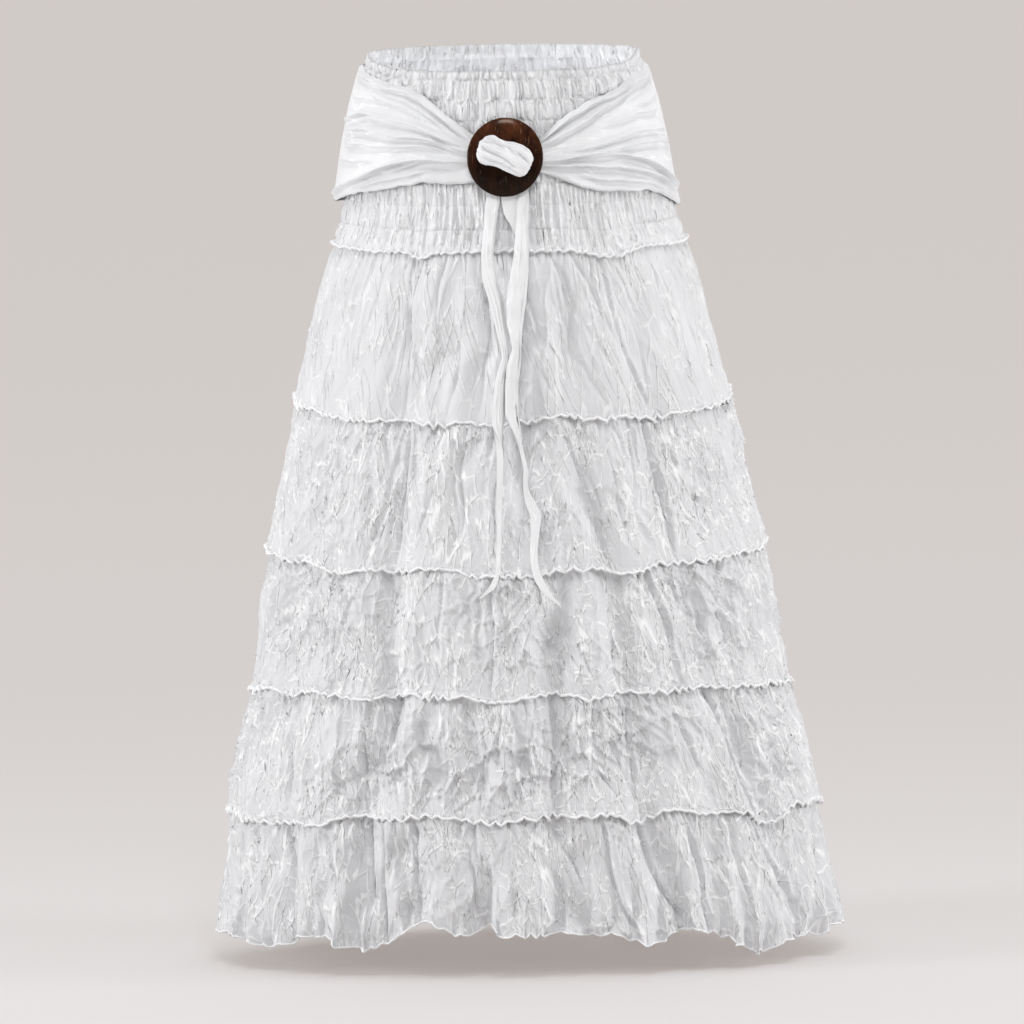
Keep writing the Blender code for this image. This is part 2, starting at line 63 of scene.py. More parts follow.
# ---- form, as in the solids
WALL, YOKE_WALL, PUCKER, LAP_GAP, TUCK_HEIGHT = 1.6, 1.2, 1.7, 1.1, 3.0
BODY = table("drop half_width half_depth", """
    0 135.5 98, 26 143.5 104, 52.5 150 109, 90 156.5 114, 146 163.5 119, 167 168 122, 185 175 127,
    218 188 136, 250 196 141, 290 207 147, 336 217.5 153, 386 226.5 159, 434 235.5 166, 488.5 249.5 175,
    554 258.5 182, 602 263.5 187, 630.5 269 190, 698 285.5 201, 750 296 209, 802 301 214, 850 309.5 221,
    876 315 225""")
LEVELS = table("drop front back centre", """
    0 14.7 0 0, 185 2 2 3.7, 336 18 9 4.5, 488.5 11 7 4.8, 630.5 -8 3 6.4, 750 -9 2 8.3, 876 -14 0 11.7""")
SEAM_DROPS = [level.drop for level in LEVELS[1:]]
DIPS = table("seam angle low half_angle", """
    1 -30 5 6, 1 34 8 16, 1 160 5 18, 2 -6 5 9, 2 13 -3 9, 2 -150 4 16, 3 -43 6 12, 3 -7 8 9, 3 4 7 9,
    3 26 7 10, 3 150 6 18, 4 -36 5 6, 4 -4 7 10, 4 16 5 9, 4 -140 6 15, 5 -58 11 26, 5 -44 7 9,
    5 -5 4 7, 5 22 7 6, 5 50 6 26, 5 57 15 10, 5 135 8 12, 6 -62 9 36, 6 -56 9 9, 6 -33 17 10,
    6 -19 -12 6, 6 -8 -9 5, 6 12 3 8, 6 23 15 8, 6 48 17 12, 6 62 15 42, 6 98 -7 6, 6 120 11 8,
    6 143 7 5, 6 160 -8 9, 6 178 8 6, 6 -165 12 8, 6 -146 -6 6, 6 -133 10 6, 6 -114 -7 7, 6 -98 10 7""")
# Long folds: how deep and wide each is, how it grows downwards, and its angle at each seam.
DRAPES = table("depth reach growth seam_1 seam_2 seam_3 seam_4 seam_5 hem", """
    19 28 0.6 -33 -29 -30 -28 -33 -29, 15 30 0.6 6 2 8 8 6 10, 17 28 1 30 39 40 45 54 62,
    11 27 1 14 14 21 23 23 29, 11 27 0.6 -66 -62 -58 -57 -55 -52, 16 34 0.6 118 122 124 121 126 123,
    14 32 0.6 152 158 156 160 163 158, 18 36 0.6 205 201 204 200 196 199,
    14 32 0.6 240 236 238 234 231 235""")
TIERS = table("folds belly seam frill turn", """
    22 7 3 7 0.4, 26 8 3.5 7 1.7, 28 8.5 3.5 7 2.9, 30 9 4 7 0.9, 34 13 17 0 2.2""")
OPEN_PART = 0.36            # where a tier's gathers have opened

# ---- finer form of the cloth
FRONT_COLUMNS, BACK_COLUMNS = 620, 280
TIER_ROWS, FRILL_ROWS = 64, 7
EDGE_RADIUS, HEM_RADIUS, EDGE_SIDES = 1.55, 1.05, 5     # of the merrowed edges' rolls
SEAM_LAP = 0.45             # of the solid laps, for the thin cloth under a seam
FRILL_FLARE = 0.9           # how far a frill's edge stands off the seam

# Creases seen on the front: where each starts and ends, how far its middle bends, how
# wide and deep it is, and on which side its raised lip lies (-1, 0 or 1).
CREASE = "tier angle_1 part_1 angle_2 part_2 bend width depth lip"
CREASES = table(CREASE, """
    1 -33 0 -30 1 0.2 2.6 6.5 1, 1 -51 0 -62 0.97 1.5 4 4 -1, 1 -21 0.05 -26 0.55 0.4 2.6 3 1,
    1 -16 0.6 -21 0.95 0 6 3.5 0, 1 -11 0.1 -3 0.75 0.5 3 3.2 1, 1 15 0.1 23 0.55 -0.5 3 3.5 1,
    1 13 0.32 24 0.9 0 3.5 3 -1, 1 29 0.02 39 1 -1.4 2.6 6 1, 1 33 0.05 40 0.42 0.8 2.4 3.6 1,
    1 24 0.2 39 0.93 0 2.6 3.5 1, 1 60 0.02 66 0.3 0 3 3.2 1, 1 43 0.45 54 1 0 3.6 3.6 -1,
    1 6 0 4 1 0 5 5 0, 1 -42 0.1 -50 0.8 0 3.2 2.8 -1, 2 -29 0 -30 1 0.3 2.8 7 1,
    2 -31 0.25 -37 0.98 0 3.4 3.8 -1, 2 -40 0.02 -38 0.6 0 4 3.2 1, 2 -60 0.05 -61 0.5 0 3.5 3 1,
    2 -5 0.55 -5 0.95 0 2.2 3 -1, 2 12 0.05 22 0.97 1 2.8 4.5 1, 2 26 0.03 30 0.33 0 2.6 3.2 1,
    2 36 0 40 1 1 3 6.5 1, 2 51 0.2 50 0.8 0 3 3.2 -1, 2 1 0.05 0 1 0 9 4 0,
    2 -16 0.1 -14 0.7 0 2.6 2.4 1, 3 -31 0 -29 1 0 8.5 4.5 0, 3 -17 0.1 -18 0.75 0 2.6 3.2 1,
    3 -6 0.02 -6 1 0.4 2.6 3.6 1, 3 12 0.05 10 0.65 0 9 5.5 0, 3 10 0.75 9 1 0 3 4 0,
    3 31 0.05 37 1 0.8 3 4.6 1, 3 44 0.3 48 1 0 3.2 3.4 -1, 3 -48 0.1 -46 0.9 0 3 2.6 1,
    4 -58 0.05 -55 0.95 0.5 3.8 4.6 1, 4 -36 0 -33 1 0 2.8 4.2 1, 4 -27 0 -31 0.95 0 7.5 4 0,
    4 -4 0 -5 0.6 0 2.8 3.4 1, 4 7 0.05 6 1 0 3.6 6 -1, 4 23 0.1 22 0.8 0 3 3.6 1,
    4 45 0.02 53 1 -0.8 3.4 7 1, 4 33 0.15 38 0.75 0 3 3.2 1, 4 -14 0.3 -16 0.9 0 3 2.6 -1,
    5 -55 0.02 -51 0.97 0 3.4 4.6 1, 5 -42 0.1 -37 0.95 0 3.4 4.4 1, 5 -33 0 -32 0.7 0 2.8 5.5 1,
    5 -29 0.05 -29 1 0 3 6.5 1, 5 -22 0.05 -21 1 0 3.2 5 -1, 5 -11 0.3 -9 1 0 3 4 1,
    5 5 0.1 11 0.6 0 3 3.8 -1, 5 15 0.02 20 1 -1 3.2 5.5 1, 5 22 0.02 31 1 -0.8 3.2 6 1,
    5 33 0.15 36 1 0 3.2 4.6 1, 5 51 0.02 65 0.85 -0.5 3.6 5.4 1, 5 43 0.1 46 0.9 0 3.4 3.6 -1""")
CREASE_WIDTH, CREASE_DEPTH = 0.8, 1.25
HIDDEN_CREASES = 11         # drawn for each tier's sides and back
HIDDEN_START, HIDDEN_END = 72, 288

# How each tier is crinkled: strength of its long creases, crossing net, dents, folds and
# gathers, how far the creases lean by its lower edge on the left and the right, and how
# much the crinkle grows towards the front's middle.
CRINKLES = table("long net dent fold gather left right middle", """
    0.8 0.45 0.5 0.3 0.75 -10 9 0.15, 0.7 1.4 0.9 0.5 0.65 -4 8 0.25, 0.7 1.8 1.3 0.65 0.75 -2 7 0.4,
    0.7 2 1.4 0.8 0.85 1 8 0.45, 0.5 0.9 0.7 0.8 1.2 3 9 0.2""")
CRINKLED_MIDDLE, CRINKLED_REACH = 5, 40     # degrees
# Raised lines: their spacing, length and slope, and how high and thin they are.
LONG_RIDGES = table("pitch length slope height thin", """
    22 120 0.05 2.4 0.075, 15 90 -0.1 1.8 0.08, 27 140 -0.03 -3.6 0.06""")
NET_CELLS = table("pitch length slope height thin", """
    23 40 0.25 2.4 0.07, 14 23 -0.25 1.6 0.09""")
DENTS = table("pitch length depth seed", "36 60 2.4 51, 18 30 1.2 52")
# Overlapping pleats down a tier: spacing, height, and how far down their drift repeats.
LAYS = table("pitch height reach", "27 3.6 120, 13 1.7 80")


# ---- tables and folds
def along(rows, at, column):
    """The named column at places along a table's first column."""
    return np.interp(at, [row[0] for row in rows], [getattr(row, column) for row in rows])


def hump(distance):
    """1 at 0, falling smoothly to 0 at a distance of 1."""
    return 0.5 + 0.5 * np.cos(math.pi * np.clip(np.abs(distance), 0, 1))


def smooth(part):
    """0 below 0 and 1 above 1, with a soft rise between."""
    part = np.clip(part, 0, 1)
    return part * part * (3 - 2 * part)


def crest(value, width):
    """A sharp ridge where the value is near 0."""
    return np.exp(-np.abs(value) / width)


def turn_between(angle, other):
    """The signed angle from one direction to another, in degrees."""
    return (angle - other + 180) % 360 - 180


def turns(angle):
    """An angle as a share of the whole way round."""
    return (angle % 360) / 360


def unit(vectors):
    return vectors / np.linalg.norm(vectors, axis=-1, keepdims=True)


def section(drop):
    return along(BODY, drop, "half_width"), along(BODY, drop, "half_depth")


def girth_at(drop):
    return 2 * math.pi * math.sqrt(np.prod(section(drop)))


def body_point(angle, drop, out=0.0):
    """Points over the body's surface, pushed out level along its normal."""
    turn = np.radians(angle)
    width, depth = section(drop)
    side, ahead = np.sin(turn), np.cos(turn)
    normal_x, normal_y = depth * side, -width * ahead
    length = np.hypot(normal_x, normal_y)
    lean = np.abs(ahead) * (2 - np.abs(ahead))
    sag = np.where(ahead > 0, along(LEVELS, drop, "front"), along(LEVELS, drop, "back")) * lean
    return np.stack([
        along(LEVELS, drop, "centre") + width * side + normal_x / length * out,
        -depth * ahead + normal_y / length * out,
        -drop - sag + 0 * out,
    ], axis=-1)


def arc_radius(angle, drop):
    """Millimetres along the section for each radian of its angle."""
    turn = np.radians(angle)
    width, depth = section(drop)
    return np.hypot(width * np.cos(turn), depth * np.sin(turn))


def seam_drop(seam, angle):
    """A seam's drop at an angle, with its dips; seam 6 is the hem."""
    drop = SEAM_DROPS[seam - 1] + 0.0 * angle
    for dip in DIPS:
        if dip.seam == seam:
            drop = drop + dip.low * hump(turn_between(angle, dip.angle) / dip.half_angle)
    return drop


def drape_depth(angle, drop):
    """How far the long folds draw the cloth in."""
    depth = 0.0
    for drape in DRAPES:
        middle = np.interp(drop, SEAM_DROPS, drape[3:])
        away = np.radians(turn_between(angle, middle)) * arc_radius(angle, drop)
        grown = np.clip((drop - SEAM_DROPS[0]) / (SEAM_DROPS[-1] - SEAM_DROPS[0]), 0, 1) ** drape.growth
        depth = depth + drape.depth * hump(away / drape.reach) * grown
    return depth


def fold_wave(angle, tier):
    """0 on a fold's ridge and 1 in its trough, with folds of uneven width."""
    turn = np.radians(angle)
    shift = 0.10 * np.sin(2 * turn + tier.turn) + 0.045 * np.sin(5 * turn + 2 * tier.turn)
    strength = 0.8 + 0.2 * np.sin(3 * turn + 4 * tier.turn)
    return strength * (0.5 - 0.5 * np.cos(tier.folds * (turn + shift)))


def seam_inset(number, angle):
    """How far in a seam's line lies: the long folds and the folds of the tier above it."""
    inset = drape_depth(angle, seam_drop(number, angle))
    if number > 1:
        above = TIERS[number - 2]
        inset = inset + above.seam * fold_wave(angle, above)
    return inset


# ---- soft noise
NOISE_ROWS = 97             # a noise repeats downwards after this many cells


def ease(t):
    return t * t * t * (t * (6 * t - 15) + 10)


def noise(across, down, wide, seed):
    """Smooth noise of about -1 to 1 that closes on itself after wide cells across."""
    spin = np.random.default_rng(seed).uniform(0, 2 * math.pi, (NOISE_ROWS, wide))
    i, j = np.floor(across).astype(int), np.floor(down).astype(int)
    x, y = across - i, down - j
    total = 0.0
    for right in (0, 1):
        for low in (0, 1):
            turn = spin[(j + low) % NOISE_ROWS, (i + right) % wide]
            slope = np.cos(turn) * (x - right) + np.sin(turn) * (y - low)
            total = total + slope * ease(1 - np.abs(x - right)) * ease(1 - np.abs(y - low))
    return 1.5 * total


def ring_noise(turn, wide, seed, down=0.0):
    """Noise of this many cells once round."""
    return noise(turn * wide, down, wide, seed)


def cell_border(across, down, wide, seed):
    """0 on the borders between scattered cells, growing towards each cell's middle."""
    spots = np.random.default_rng(seed).uniform(0.03, 0.97, (2, NOISE_ROWS, wide))
    i, j = np.floor(across).astype(int), np.floor(down).astype(int)
    nearest = np.full(np.shape(across), 9.0)
    second = nearest.copy()
    for right in (-1, 0, 1):
        for low in (-1, 0, 1):
            row, column = (j + low) % NOISE_ROWS, (i + right) % wide
            gap = np.hypot(i + right + spots[0, row, column] - across,
                           j + low + spots[1, row, column] - down)
            second = np.minimum(second, np.maximum(nearest, gap))
            nearest = np.minimum(nearest, gap)
    return second - nearest


# ---- mesh building
def add_object(name, data):
    made = bpy.data.objects.new(name, data)
    bpy.context.scene.collection.objects.link(made)
    return made


def flat_sizes(points):
    """Each point's place on the cloth laid flat: along its row and down its column."""
    across = np.linalg.norm(np.diff(points, axis=1), axis=-1).mean(0)
    down = np.linalg.norm(np.diff(points, axis=0), axis=-1).mean(1)
    u, v = (np.concatenate([[0], np.cumsum(steps)]) for steps in (across, down))
    return np.stack(np.meshgrid(u, v, indexing="xy"), -1)


def grid_object(name, points, closed, material, turned=False):
    """A smooth-shaded sheet through rows of points, with its flat sizes as a UV map.

    A closed sheet joins its last column to its first; a turned one's cloth runs down."""
    rows, count = points.shape[:2]
    row, column = np.meshgrid(np.arange(rows - 1), np.arange(count if closed else count - 1),
                              indexing="ij")
    beside = (column + 1) % count
    corners = np.stack([row * count + column, (row + 1) * count + column,
                        (row + 1) * count + beside, row * count + beside], -1)
    mesh = bpy.data.meshes.new(name)
    mesh.vertices.add(rows * count)
    mesh.vertices.foreach_set("co", (points * MM).astype(np.float32).ravel())
    mesh.loops.add(corners.size)
    mesh.loops.foreach_set("vertex_index", corners.astype(np.int32).ravel())
    mesh.polygons.add(corners.size // 4)
    mesh.polygons.foreach_set("loop_start", np.arange(0, corners.size, 4, dtype=np.int32))
    mesh.update(calc_edges=True)
    flat = flat_sizes(points)[..., ::-1 if turned else 1].reshape(-1, 2)
    places = flat[corners.reshape(-1, 4)]
    if closed:
        seam = (column.ravel() == count - 1)
        places[seam, 2:, 0] += flat[:, 0].max() + (flat[1, 0] - flat[0, 0])
    layer = mesh.uv_layers.new(name="cloth")
    layer.data.foreach_set("uv", places.astype(np.float32).ravel())
    mesh.shade_smooth()
    mesh.materials.append(material)
    return add_object(name, mesh)


def edge_roll(name, line, radius, material):
    """A merrowed edge: a thin tube along a closed, mostly level line."""
    ahead = unit(np.roll(line, -1, axis=0) - np.roll(line, 1, axis=0))
    level = np.cross(ahead, [0, 0, 1.0])
    level /= np.linalg.norm(level, axis=1, keepdims=True) + 1e-9
    rise = np.cross(level, ahead)
    turn = -2 * math.pi * np.arange(EDGE_SIDES + 1)[:, None, None] / EDGE_SIDES
    rings = line + radius * (np.cos(turn) * level + np.sin(turn) * rise)
    return grid_object(name, rings, True, material)


def dress(slot, nodes, *pieces):
    """Hides solids of the skirt and hangs the pieces that stand for them, the first and its trims, on the
    root.
    """
    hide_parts(*nodes)
    for piece in pieces:
        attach(piece, "root")
    return pieces


def add_cloth(name, nodes, slot, points, material, trim=(), turned=False):
    """A sheet through points; a trim, of a radius and a material, rolls its closed lower edge."""
    pieces = [grid_object(f"{name}_cloth", points, bool(trim), material, turned)]
    if trim:
        pieces.append(edge_roll(f"{name}_edge", points[-1], *trim))
    return dress(slot, nodes, *pieces)


# ---- materials
class Nodes:
    """Builds a node tree; each call adds nodes and gives their output."""

    def __init__(self, tree):
        self.tree = tree

    def feed(self, node, inputs):
        """Sets inputs, by name or number, to values or to other nodes' outputs."""
        for name, value in inputs.items():
            if isinstance(value, bpy.types.NodeSocket):
                self.tree.links.new(value, node.inputs[name])
            else:
                node.inputs[name].default_value = value

    def add(self, kind, inputs, output=0, **settings):
        node = self.tree.nodes.new("ShaderNode" + kind)
        for name, value in settings.items():
            setattr(node, name, value)
        self.feed(node, inputs)
        return node.outputs[output]

    def noise(self, vector, detail, **inputs):
        return self.add("TexNoise", {"Vector": vector, "Scale": 1.0, "Detail": detail, **inputs})

    def math(self, operation, first, second):
        return self.add("Math", {0: first, 1: second}, operation=operation)

    def mix(self, factor, first, second, **settings):
        return self.add("Mix", {"Factor": factor, "A": first, "B": second}, "Result",
                        data_type="RGBA", **settings)

    def axis(self, space, axis):
        """One of the texture coordinates of a space."""
        return self.add("SeparateXYZ", {"Vector": self.add("TexCoord", {}, space)}, axis)

    def span(self, value, low, high, to_low=0.0, to_high=1.0, kind="SMOOTHSTEP"):
        """The value's way from low to high as a number from to_low to to_high."""
        return self.add("MapRange", {"Value": value, "From Min": low, "From Max": high,
                                     "To Min": to_low, "To Max": to_high}, interpolation_type=kind)


def new_material(name):
    material = bpy.data.materials.new(name)
    material.use_nodes = True
    return material, Nodes(material.node_tree), material.node_tree.nodes["Principled BSDF"]


# Fine raised lines of a cloth: the width and length of their pattern, how far it leans
# (radians), how thin and how high they are. Nets are cells' borders, streaks are long.
LINE = "across down lean thin height"
CRINKLED_NETS = table(LINE, "14 32 0.34 0.10 0.9, 9 18 -0.42 0.13 0.6")
SOFT_NETS = table(LINE, "14 32 0.34 0.10 0.5")
CRINKLED_STREAKS = table(LINE, "11 80 0.07 0.05 0.7, 8 45 -0.32 0.05 0.7")
SMOCKED_STREAKS = table(LINE, "4.5 20 0.1 0.10 0.75, 5.0 18 -0.16 0.10 0.65")
SASH_STREAKS = table(LINE, "70 9 0.05 0.035 0.3")
# Each cloth's lines and colour, and how much whiter its raised lines are painted, a painted highlight on its
# crests.
CLOTHS = [
    ("smocked_voile", [], SMOCKED_STREAKS, (0.79, 0.795, 0.815), 0.6),
    ("soft_voile", SOFT_NETS, CRINKLED_STREAKS, (0.745, 0.75, 0.77), 0.5),
    ("crinkled_voile", CRINKLED_NETS, CRINKLED_STREAKS, (0.732, 0.737, 0.757), 0.85),
    ("sash_voile", [], SASH_STREAKS, (0.835, 0.842, 0.86), 0.85),
    ("folded_voile", [], SASH_STREAKS, (0.865, 0.872, 0.888), 0.85),
]
GRAIN_HEIGHT, WEAVE_HEIGHT = 0.12, 0.05
CREST_HIGHLIGHT_COLOUR = (0.95, 0.955, 0.965, 1)    # painted highlight: the colour the raised lines are whitened towards
PATCH_SHADE = 0.92          # the darker patches' share of the cloth's colour


def cloth_material(name, nets, streaks, colour, crest_highlight):
    """White voile, with its fine creases, grain and weave as bump, and a painted highlight on its raised
    lines.
    """
    material, nodes, shader = new_material(name)
    place = nodes.add("UVMap", {}, uv_map="cloth")

    def scaled(across, down, lean=0.0):
        return nodes.add("Mapping", {"Rotation": (0, 0, lean), "Scale": (across, down, 1),
                                     "Vector": place}, vector_type="TEXTURE")

    heights, crests = [], None
    for line in nets + streaks:
        vector = scaled(line.across, line.down, line.lean)
        if line in nets:
            bend = nodes.add("TexNoise", {"Vector": vector, "Scale": 0.8, "Detail": 1}, "Color")
            bent = nodes.add("VectorMath", {0: bend, 1: (0.5, 0.5, 0), 2: vector},
                             operation="MULTIPLY_ADD")
            away = nodes.add("TexVoronoi", {"Scale": 1.0, "Vector": bent}, "Distance",
                             voronoi_dimensions="2D", feature="DISTANCE_TO_EDGE")
            patch = nodes.span(nodes.noise(scaled(46, 56, line.lean), 2), 0.40, 0.58, 0.25)
            broken = nodes.noise(scaled(line.across, 0.7 * line.down, 1.0), 1)
            here = nodes.math("MULTIPLY", patch, nodes.span(broken, 0.42, 0.56))
        else:
            waves = nodes.noise(vector, 0.5, Distortion=0.15)
            away = nodes.math("ABSOLUTE", nodes.math("SUBTRACT", waves, 0.5), 0.0)
            here = nodes.span(nodes.noise(scaled(3 * line.across, 1.5 * line.down), 1), 0.38, 0.6, 0.05)
        raised = nodes.math("MULTIPLY", nodes.span(away, 0.0, line.thin, 1.0, 0.0), here)
        heights.append((raised, line.height))
        crests = nodes.math("MAXIMUM", crests, raised) if crests else raised
    grain = nodes.noise(scaled(1.4, 2.2), 2)
    weave = nodes.math("MULTIPLY", *[
        nodes.add("TexWave", {"Scale": 1.0, "Distortion": 0.6, "Vector": scaled(across, down)}, "Fac",
                  bands_direction=direction)
        for direction, across, down in (("X", 1.5, 9), ("Y", 9, 1.5))])
    bump = {}
    for height, distance in heights + [(grain, GRAIN_HEIGHT), (weave, WEAVE_HEIGHT)]:
        inputs = {"Strength": 1.0, "Distance": distance * MM, "Height": height, **bump}
        bump = {"Normal": nodes.add("Bump", inputs)}
    patches = nodes.span(nodes.noise(scaled(40, 66), 4), 0.3, 0.7)
    tint = nodes.mix(patches, (*[c * PATCH_SHADE for c in colour], 1), (*colour, 1))
    # painted highlight: the raised lines' colour is whitened, as if they caught the light
    nodes.feed(shader, {
        "Metallic": 0.0, "Specular IOR Level": 0.25, "Sheen Weight": 0.12, "Sheen Roughness": 0.45,
        "Base Color": nodes.mix(nodes.span(crests, 0.0, 1.0, 0.0, crest_highlight), tint, CREST_HIGHLIGHT_COLOUR),
        "Roughness": nodes.span(grain, 0.0, 1.0, 0.72, 0.92), **bump})
    return material


def thread_material():
    """Overlocking thread, wound closely round an edge."""
    material, nodes, shader = new_material("merrow_thread")
    place = nodes.add("UVMap", {}, uv_map="cloth")
    wound = nodes.add("TexWave", {"Scale": 0.26, "Distortion": 1.2, "Vector": place}, "Fac",
                      bands_direction="DIAGONAL")
    nodes.feed(shader, {
        "Specular IOR Level": 0.3, "Sheen Weight": 0.1,
        "Normal": nodes.add("Bump", {"Distance": 0.3 * MM, "Height": wound}),
        "Base Color": nodes.mix(wound, (0.93, 0.935, 0.95, 1), (0.97, 0.975, 0.985, 1)),
        "Roughness": nodes.span(wound, 0.0, 1.0, 0.85, 0.6, "LINEAR")})
    return material


# ---- tiers
TIER_MIDDLE = 75            # about how far below its seam a tier's middle lies
GATHER_PITCH, GATHER_DEPTH, GATHER_LENGTH = 10.0, 4.8, 22     # of the pleats in a seam
FRILL_PITCH, HEM_PITCH, FLUTE_PITCH = 24.0, 36, 30      # of a frill's and the hem's lobes
FLUTE_DEPTH, FLUTE_SWAY = 6.4, 2.8
FRILL_LOBE, HEM_LOBE = 4.9, 4.0         # how far a lobe hangs


def round_angles(front, back):
    """Angles of the columns once round, closer together across the front."""
    return np.concatenate([np.linspace(-90, 90, front, endpoint=False),
                           np.linspace(90, 270, back, endpoint=False)])


def tier_creases(number):
    """The tier's creases: those seen on its front, and similar ones on hidden sides."""
    found = [crease for crease in CREASES if crease.tier == number]
    draw = np.random.default_rng(100 + number)
    step = (HIDDEN_END - HIDDEN_START) / HIDDEN_CREASES
    for i in range(HIDDEN_CREASES):
        angle = HIDDEN_START + step * (i + draw.uniform(0.1, 0.9))
        start = draw.choice([0.0, 0.0, draw.uniform(0.1, 0.5)])
        end = min(1.0, start + draw.uniform(0.4, 1.0))
        found.append((number, angle, start, angle + draw.uniform(-7, 7), end, draw.uniform(-1, 1),
                      draw.uniform(2.6, 5.0), draw.uniform(2.8, 6.5), draw.choice([-1, 1])))
    return named(CREASE, found)


def crease_relief(number, angle, part, drop):
    """Outward push of a tier's creases: troughs, most with a raised lip beside them."""
    relief = np.zeros(angle.shape)
    for crease in tier_creases(number):
        share = (part - crease.part_1) / (crease.part_2 - crease.part_1)
        inside = np.clip(share, 0, 1)
        middle = crease.angle_1 + (crease.angle_2 - crease.angle_1) * inside
        middle = middle + crease.bend * np.sin(math.pi * inside)
        away = np.radians(turn_between(angle, middle)) * arc_radius(angle, drop)
        wander = 1.2 * np.sin(9 * inside + crease.angle_1)
        across = (away + wander) / (CREASE_WIDTH * crease.width)
        taper = smooth((share + 0.06) / 0.2) * smooth((1.08 - share) / 0.25)
        trough = np.exp(-across * across)
        lip = np.exp(-((across - 2.0 * crease.lip) / 1.3) ** 2)
        relief += taper * CREASE_DEPTH * crease.depth * (0.42 * abs(crease.lip) * lip - trough)
    return relief


def ridges(kinds, turn, drop, girth, seed):
    """Thin raised lines of the given kinds, each fading in and out along its way."""
    relief = 0.0
    for i, kind in enumerate(kinds):
        wide = round(girth / kind.pitch)
        line = noise(turn * wide + kind.slope * drop / kind.pitch, drop / kind.length, wide, seed + 2 * i)
        fading = ring_noise(turn, max(wide // 3, 1), seed + 2 * i + 1, drop / (1.1 * kind.length))
        relief = relief + kind.height * smooth(0.55 + 0.95 * fading) * crest(line, kind.thin)
    return relief


def crinkle_relief(number, angle, drop, part):
    """Fine crushed relief of crinkled voile: long creases, patches of net and dents."""
    kind, seed = CRINKLES[number - 1], 100 * number
    girth = girth_at(SEAM_DROPS[number - 1] + TIER_MIDDLE)
    lean = np.interp(turn_between(angle, 0), [-180, -90, -45, 0, 45, 90, 180],
                     [0, kind.left, kind.left, 0, kind.right, kind.right, 0])
    turn = turns(angle - lean * part)
    turn = turn + 0.35 / round(girth / 21) * ring_noise(turn, 24, seed, drop / 60)
    relief = kind.long * ridges(LONG_RIDGES, turn, drop, girth, seed + 1)
    patch = smooth(0.5 + 0.95 * ring_noise(turn, 11, seed + 30, drop / 75))
    for i, cell in enumerate(NET_CELLS):
        wide = round(girth / cell.pitch)
        border = cell_border(turn * wide + cell.slope * drop / cell.pitch, drop / cell.length,
                             wide, seed + 31 + i)
        relief = relief + kind.net * (0.2 + 0.8 * patch) * cell.height * crest(border, cell.thin)
    for dent in DENTS:
        hollow = ring_noise(turn, round(girth / dent.pitch), seed + dent.seed, drop / dent.length)
        relief = relief + kind.dent * dent.depth * hollow
    near = np.exp(-(turn_between(angle, CRINKLED_MIDDLE) / CRINKLED_REACH) ** 2)
    return relief * (1 + kind.middle * near) - 0.8


def pleated(turn, drop, part, girth, lay, seed):
    """Overlapping soft pleats: each rises slowly to one side and falls sharply there."""
    wide = round(girth / lay.pitch)
    phase = turn * wide + 0.75 * ring_noise(turn, wide // 2, seed, drop / lay.reach)
    cell = np.floor(phase).astype(int)
    share, cell = phase - cell, cell % wide
    draw = np.random.default_rng(seed + 1)
    side, size = draw.random(wide), draw.uniform(0.15, 1.0, wide)
    start, stop = draw.uniform(-0.9, 0.5, wide), draw.uniform(0.45, 2.0, wide)
    share = np.where(side[cell] < 0.55, share, 1 - share)
    profile = share ** 1.3 * (1 - smooth((share - 0.87) / 0.13))
    lasts = smooth((part - start[cell]) / 0.25) * smooth((stop[cell] - part) / 0.25)
    return lay.height * size[cell] * lasts * profile


def gather_relief(number, angle, below):
    """Pleats pinched into the seam above, of uneven length; never outwards."""
    wide, turn = round(girth_at(SEAM_DROPS[number - 1]) / GATHER_PITCH), turns(angle)
    length = GATHER_LENGTH * (1 + ring_noise(turn, wide // 2, 60 + number, 0.5))
    drift = 0.6 * ring_noise(turn, wide // 3, 65 + number, below / 34)
    valley = crest(noise(turn * wide + drift, below / 90, wide, 70 + number), 0.20)
    fade = np.exp(-np.clip(below, 0, None) / length)
    return -CRINKLES[number - 1].gather * GATHER_DEPTH * valley * fade


